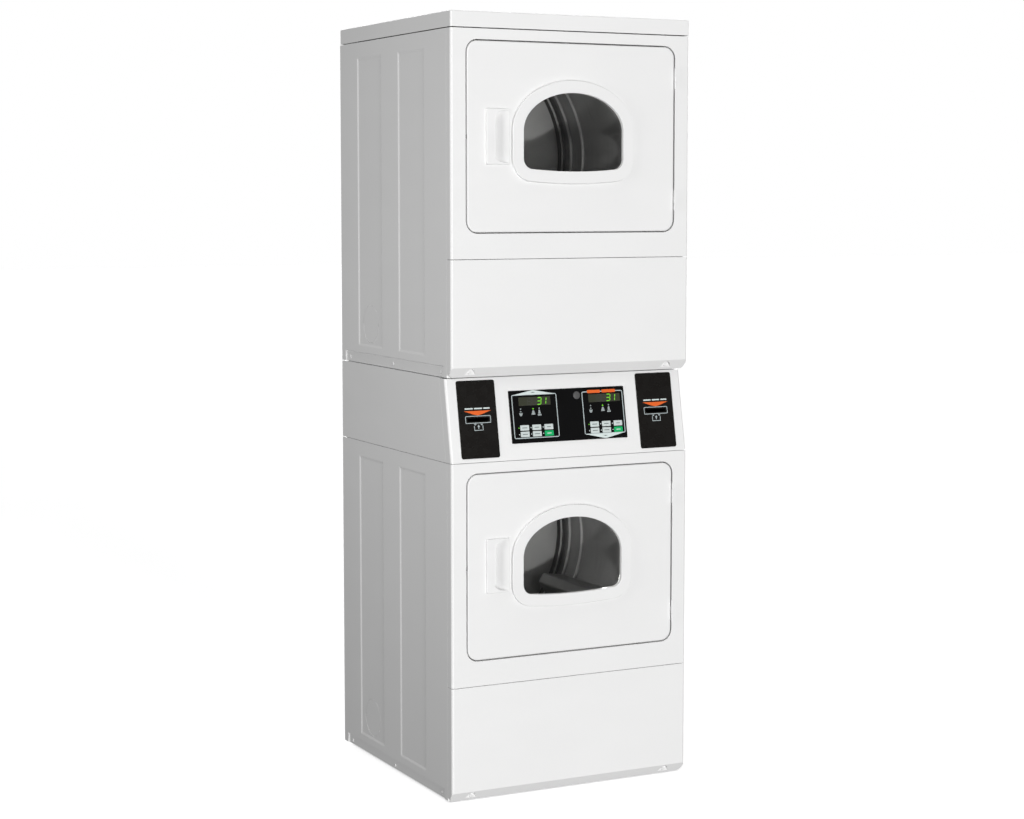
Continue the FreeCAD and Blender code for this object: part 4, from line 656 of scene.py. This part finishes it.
LENS_CENTRE = (27.7, 158.0)
LENS_RINGS = (  # radius and height of each ring, from the foot of the rim to the dome's top
    (10.0, 1.15),
    (10.0, 1.9),
    (9.0, 1.95),
    (8.4, 1.75),
    (7.4, 2.1),
    (5.2, 2.45),
    (2.6, 2.62),
)


def lens_cap():
    """The receiver's lens: a shallow dome inside a flat rim."""
    mesh = bmesh.new()
    steps = 40
    loops = []
    for radius, n in LENS_RINGS:
        points = disc(*LENS_CENTRE, radius, steps)
        loops.append([mesh.verts.new(on_console(x, s, n)) for x, s in points])
    for lower, upper in zip(loops, loops[1:]):
        for i in range(steps):
            j = (i + 1) % steps
            mesh.faces.new((lower[i], lower[j], upper[j], upper[i]))
    mesh.faces.new(loops[-1])
    mesh.faces.new(tuple(reversed(loops[0])))
    piece = finished("receiver_lens", mesh, LENS_GREY, "cabinet")
    for polygon in piece.data.polygons:
        polygon.use_smooth = True


lens_cap()


# ---------------------------------------------------------------- stage, light and camera


def stage_floor():
    """A wide pale floor."""
    mesh = bmesh.new()
    bmesh.ops.create_grid(mesh, x_segments=2, y_segments=2, size=40.0)
    data = bpy.data.meshes.new("studio_floor")
    mesh.to_mesh(data)
    mesh.free()
    floor = bpy.data.objects.new("studio_floor", data)
    bpy.context.scene.collection.objects.link(floor)
    surface = Surface("Studio floor", Roughness=0.9, Emission_Strength=0.5)
    surface.shader.inputs["Emission Color"].default_value = (1.0, 1.0, 1.0, 1.0)
    drift = surface.spread(surface.noise(0.8, 3), 0.0, 1.0)
    surface.colour(surface.mix(drift, (0.90, 0.90, 0.90), (0.92, 0.92, 0.92)))
    data.materials.append(surface.material)
    floor.visible_diffuse = False
    floor.visible_glossy = False
    floor.visible_shadow = False


def sun(name, direction, strength, spread):
    """Soft light from a direction, given as the way it travels. The spread is in degrees."""
    data = bpy.data.lights.new(name, "SUN")
    data.energy = strength
    data.angle = math.radians(spread)
    lamp = bpy.data.objects.new(name, data)
    lamp.rotation_mode = "QUATERNION"
    lamp.rotation_quaternion = Vector(direction).to_track_quat("-Z", "Y")
    bpy.context.scene.collection.objects.link(lamp)


def softbox(name, place, aim, size, strength):
    """A square softbox at a place, turned towards a point, in metres and watts."""
    data = bpy.data.lights.new(name, "AREA")
    data.energy = strength
    data.size = size
    lamp = bpy.data.objects.new(name, data)
    lamp.location = place
    lamp.rotation_mode = "QUATERNION"
    lamp.rotation_quaternion = (Vector(aim) - Vector(place)).to_track_quat("-Z", "Y")
    lamp.visible_camera = False
    lamp.visible_glossy = False
    bpy.context.scene.collection.objects.link(lamp)


def inner_lamp(name, kind, place, strength):
    """A small lamp of the studio inside a drum, which the camera doesn't see."""
    data = bpy.data.lights.new(name, kind)
    data.energy = strength
    data.shadow_soft_size = 0.005
    lamp = bpy.data.objects.new(name, data)
    lamp.location = place
    lamp.visible_camera = False
    bpy.context.scene.collection.objects.link(lamp)
    return lamp


def drum_lamps(unit, drop):
    """A spot on a drum's back wall, two on its right beads and a faint glow, set lower by drop."""
    low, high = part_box(f"{unit}_drum")
    axis_z = (low.z + high.z) / 2
    place = Vector((0.16, low.y + 0.04, axis_z + 0.13 - drop))
    target = Vector((0.13, high.y, axis_z + 0.325 - drop))
    aimed_spot(f"{unit} drum spot", place, target, 62.0, 3.4)
    rightwards = Vector((0.342, 0.940, 0.0))
    for number, z in enumerate((0.115, 0.015), 1):
        beside = Vector((0.20, low.y + 0.03, axis_z + z - 0.56 * drop))
        aimed_spot(f"{unit} bead spot {number}", beside, beside + rightwards, 17.0, 2.2)
    inner_lamp(f"{unit} drum glow", "POINT", place, 0.26)


def aimed_spot(name, place, target, cone, strength):
    """A small spot lamp inside a drum. The cone is in degrees."""
    spot = inner_lamp(name, "SPOT", place, strength)
    spot.data.spot_size = math.radians(cone)
    spot.data.spot_blend = 0.04
    spot.rotation_mode = "QUATERNION"
    spot.rotation_quaternion = (target - place).to_track_quat("-Z", "Y")


def world(seen, light):
    """A white surround for the camera that lights the object only softly."""
    made = bpy.data.worlds.new("Studio")
    bpy.context.scene.world = made
    made.use_nodes = True
    tree = made.node_tree
    back = tree.nodes["Background"]
    path = tree.nodes.new("ShaderNodeLightPath")
    level = tree.nodes.new("ShaderNodeMapRange")
    level.inputs["To Min"].default_value = light
    level.inputs["To Max"].default_value = seen
    tree.links.new(path.outputs["Is Camera Ray"], level.inputs["Value"])
    tree.links.new(level.outputs["Result"], back.inputs["Strength"])
    back.inputs["Color"].default_value = (1.0, 1.0, 1.0, 1.0)


CAMERA_PLACE = (-2.5666, -5.0905, 1.5272)
CAMERA_DOWN = 0.08763
CAMERA_TURN = -0.46779


def camera():
    """A long lens from the left of the front, a little above the middle of the stack."""
    data = bpy.data.cameras.new("Camera")
    data.sensor_width = 36.0
    data.lens = 74.45
    data.shift_y = -0.025
    data.clip_start, data.clip_end = 0.05, 200.0
    made = bpy.data.objects.new("Camera", data)
    made.location = CAMERA_PLACE
    made.rotation_euler = (math.pi / 2 - CAMERA_DOWN, 0.0, CAMERA_TURN)
    bpy.context.scene.collection.objects.link(made)
    bpy.context.scene.camera = made


stage_floor()
sun("Overhead light", (0.1, 0.1, -1.0), 0.6, 30.0)
sun("Front light", (0.02, 1.0, -0.16), 1.45, 16.0)
sun("Low front light", (0.02, 1.0, 0.40), 1.25, 20.0)
sun("Back light", (-0.6, -0.8, -0.3), 1.7, 40.0)
softbox("Left softbox", (-3.1, -0.85, 1.65), (-0.34, 0.0, 1.2), 1.2, 37.0)
drum_lamps("lower", 0.16)
drum_lamps("upper", 0.0)
world(1.0, 0.13)
camera()
bpy.context.scene.view_settings.view_transform = "Standard"
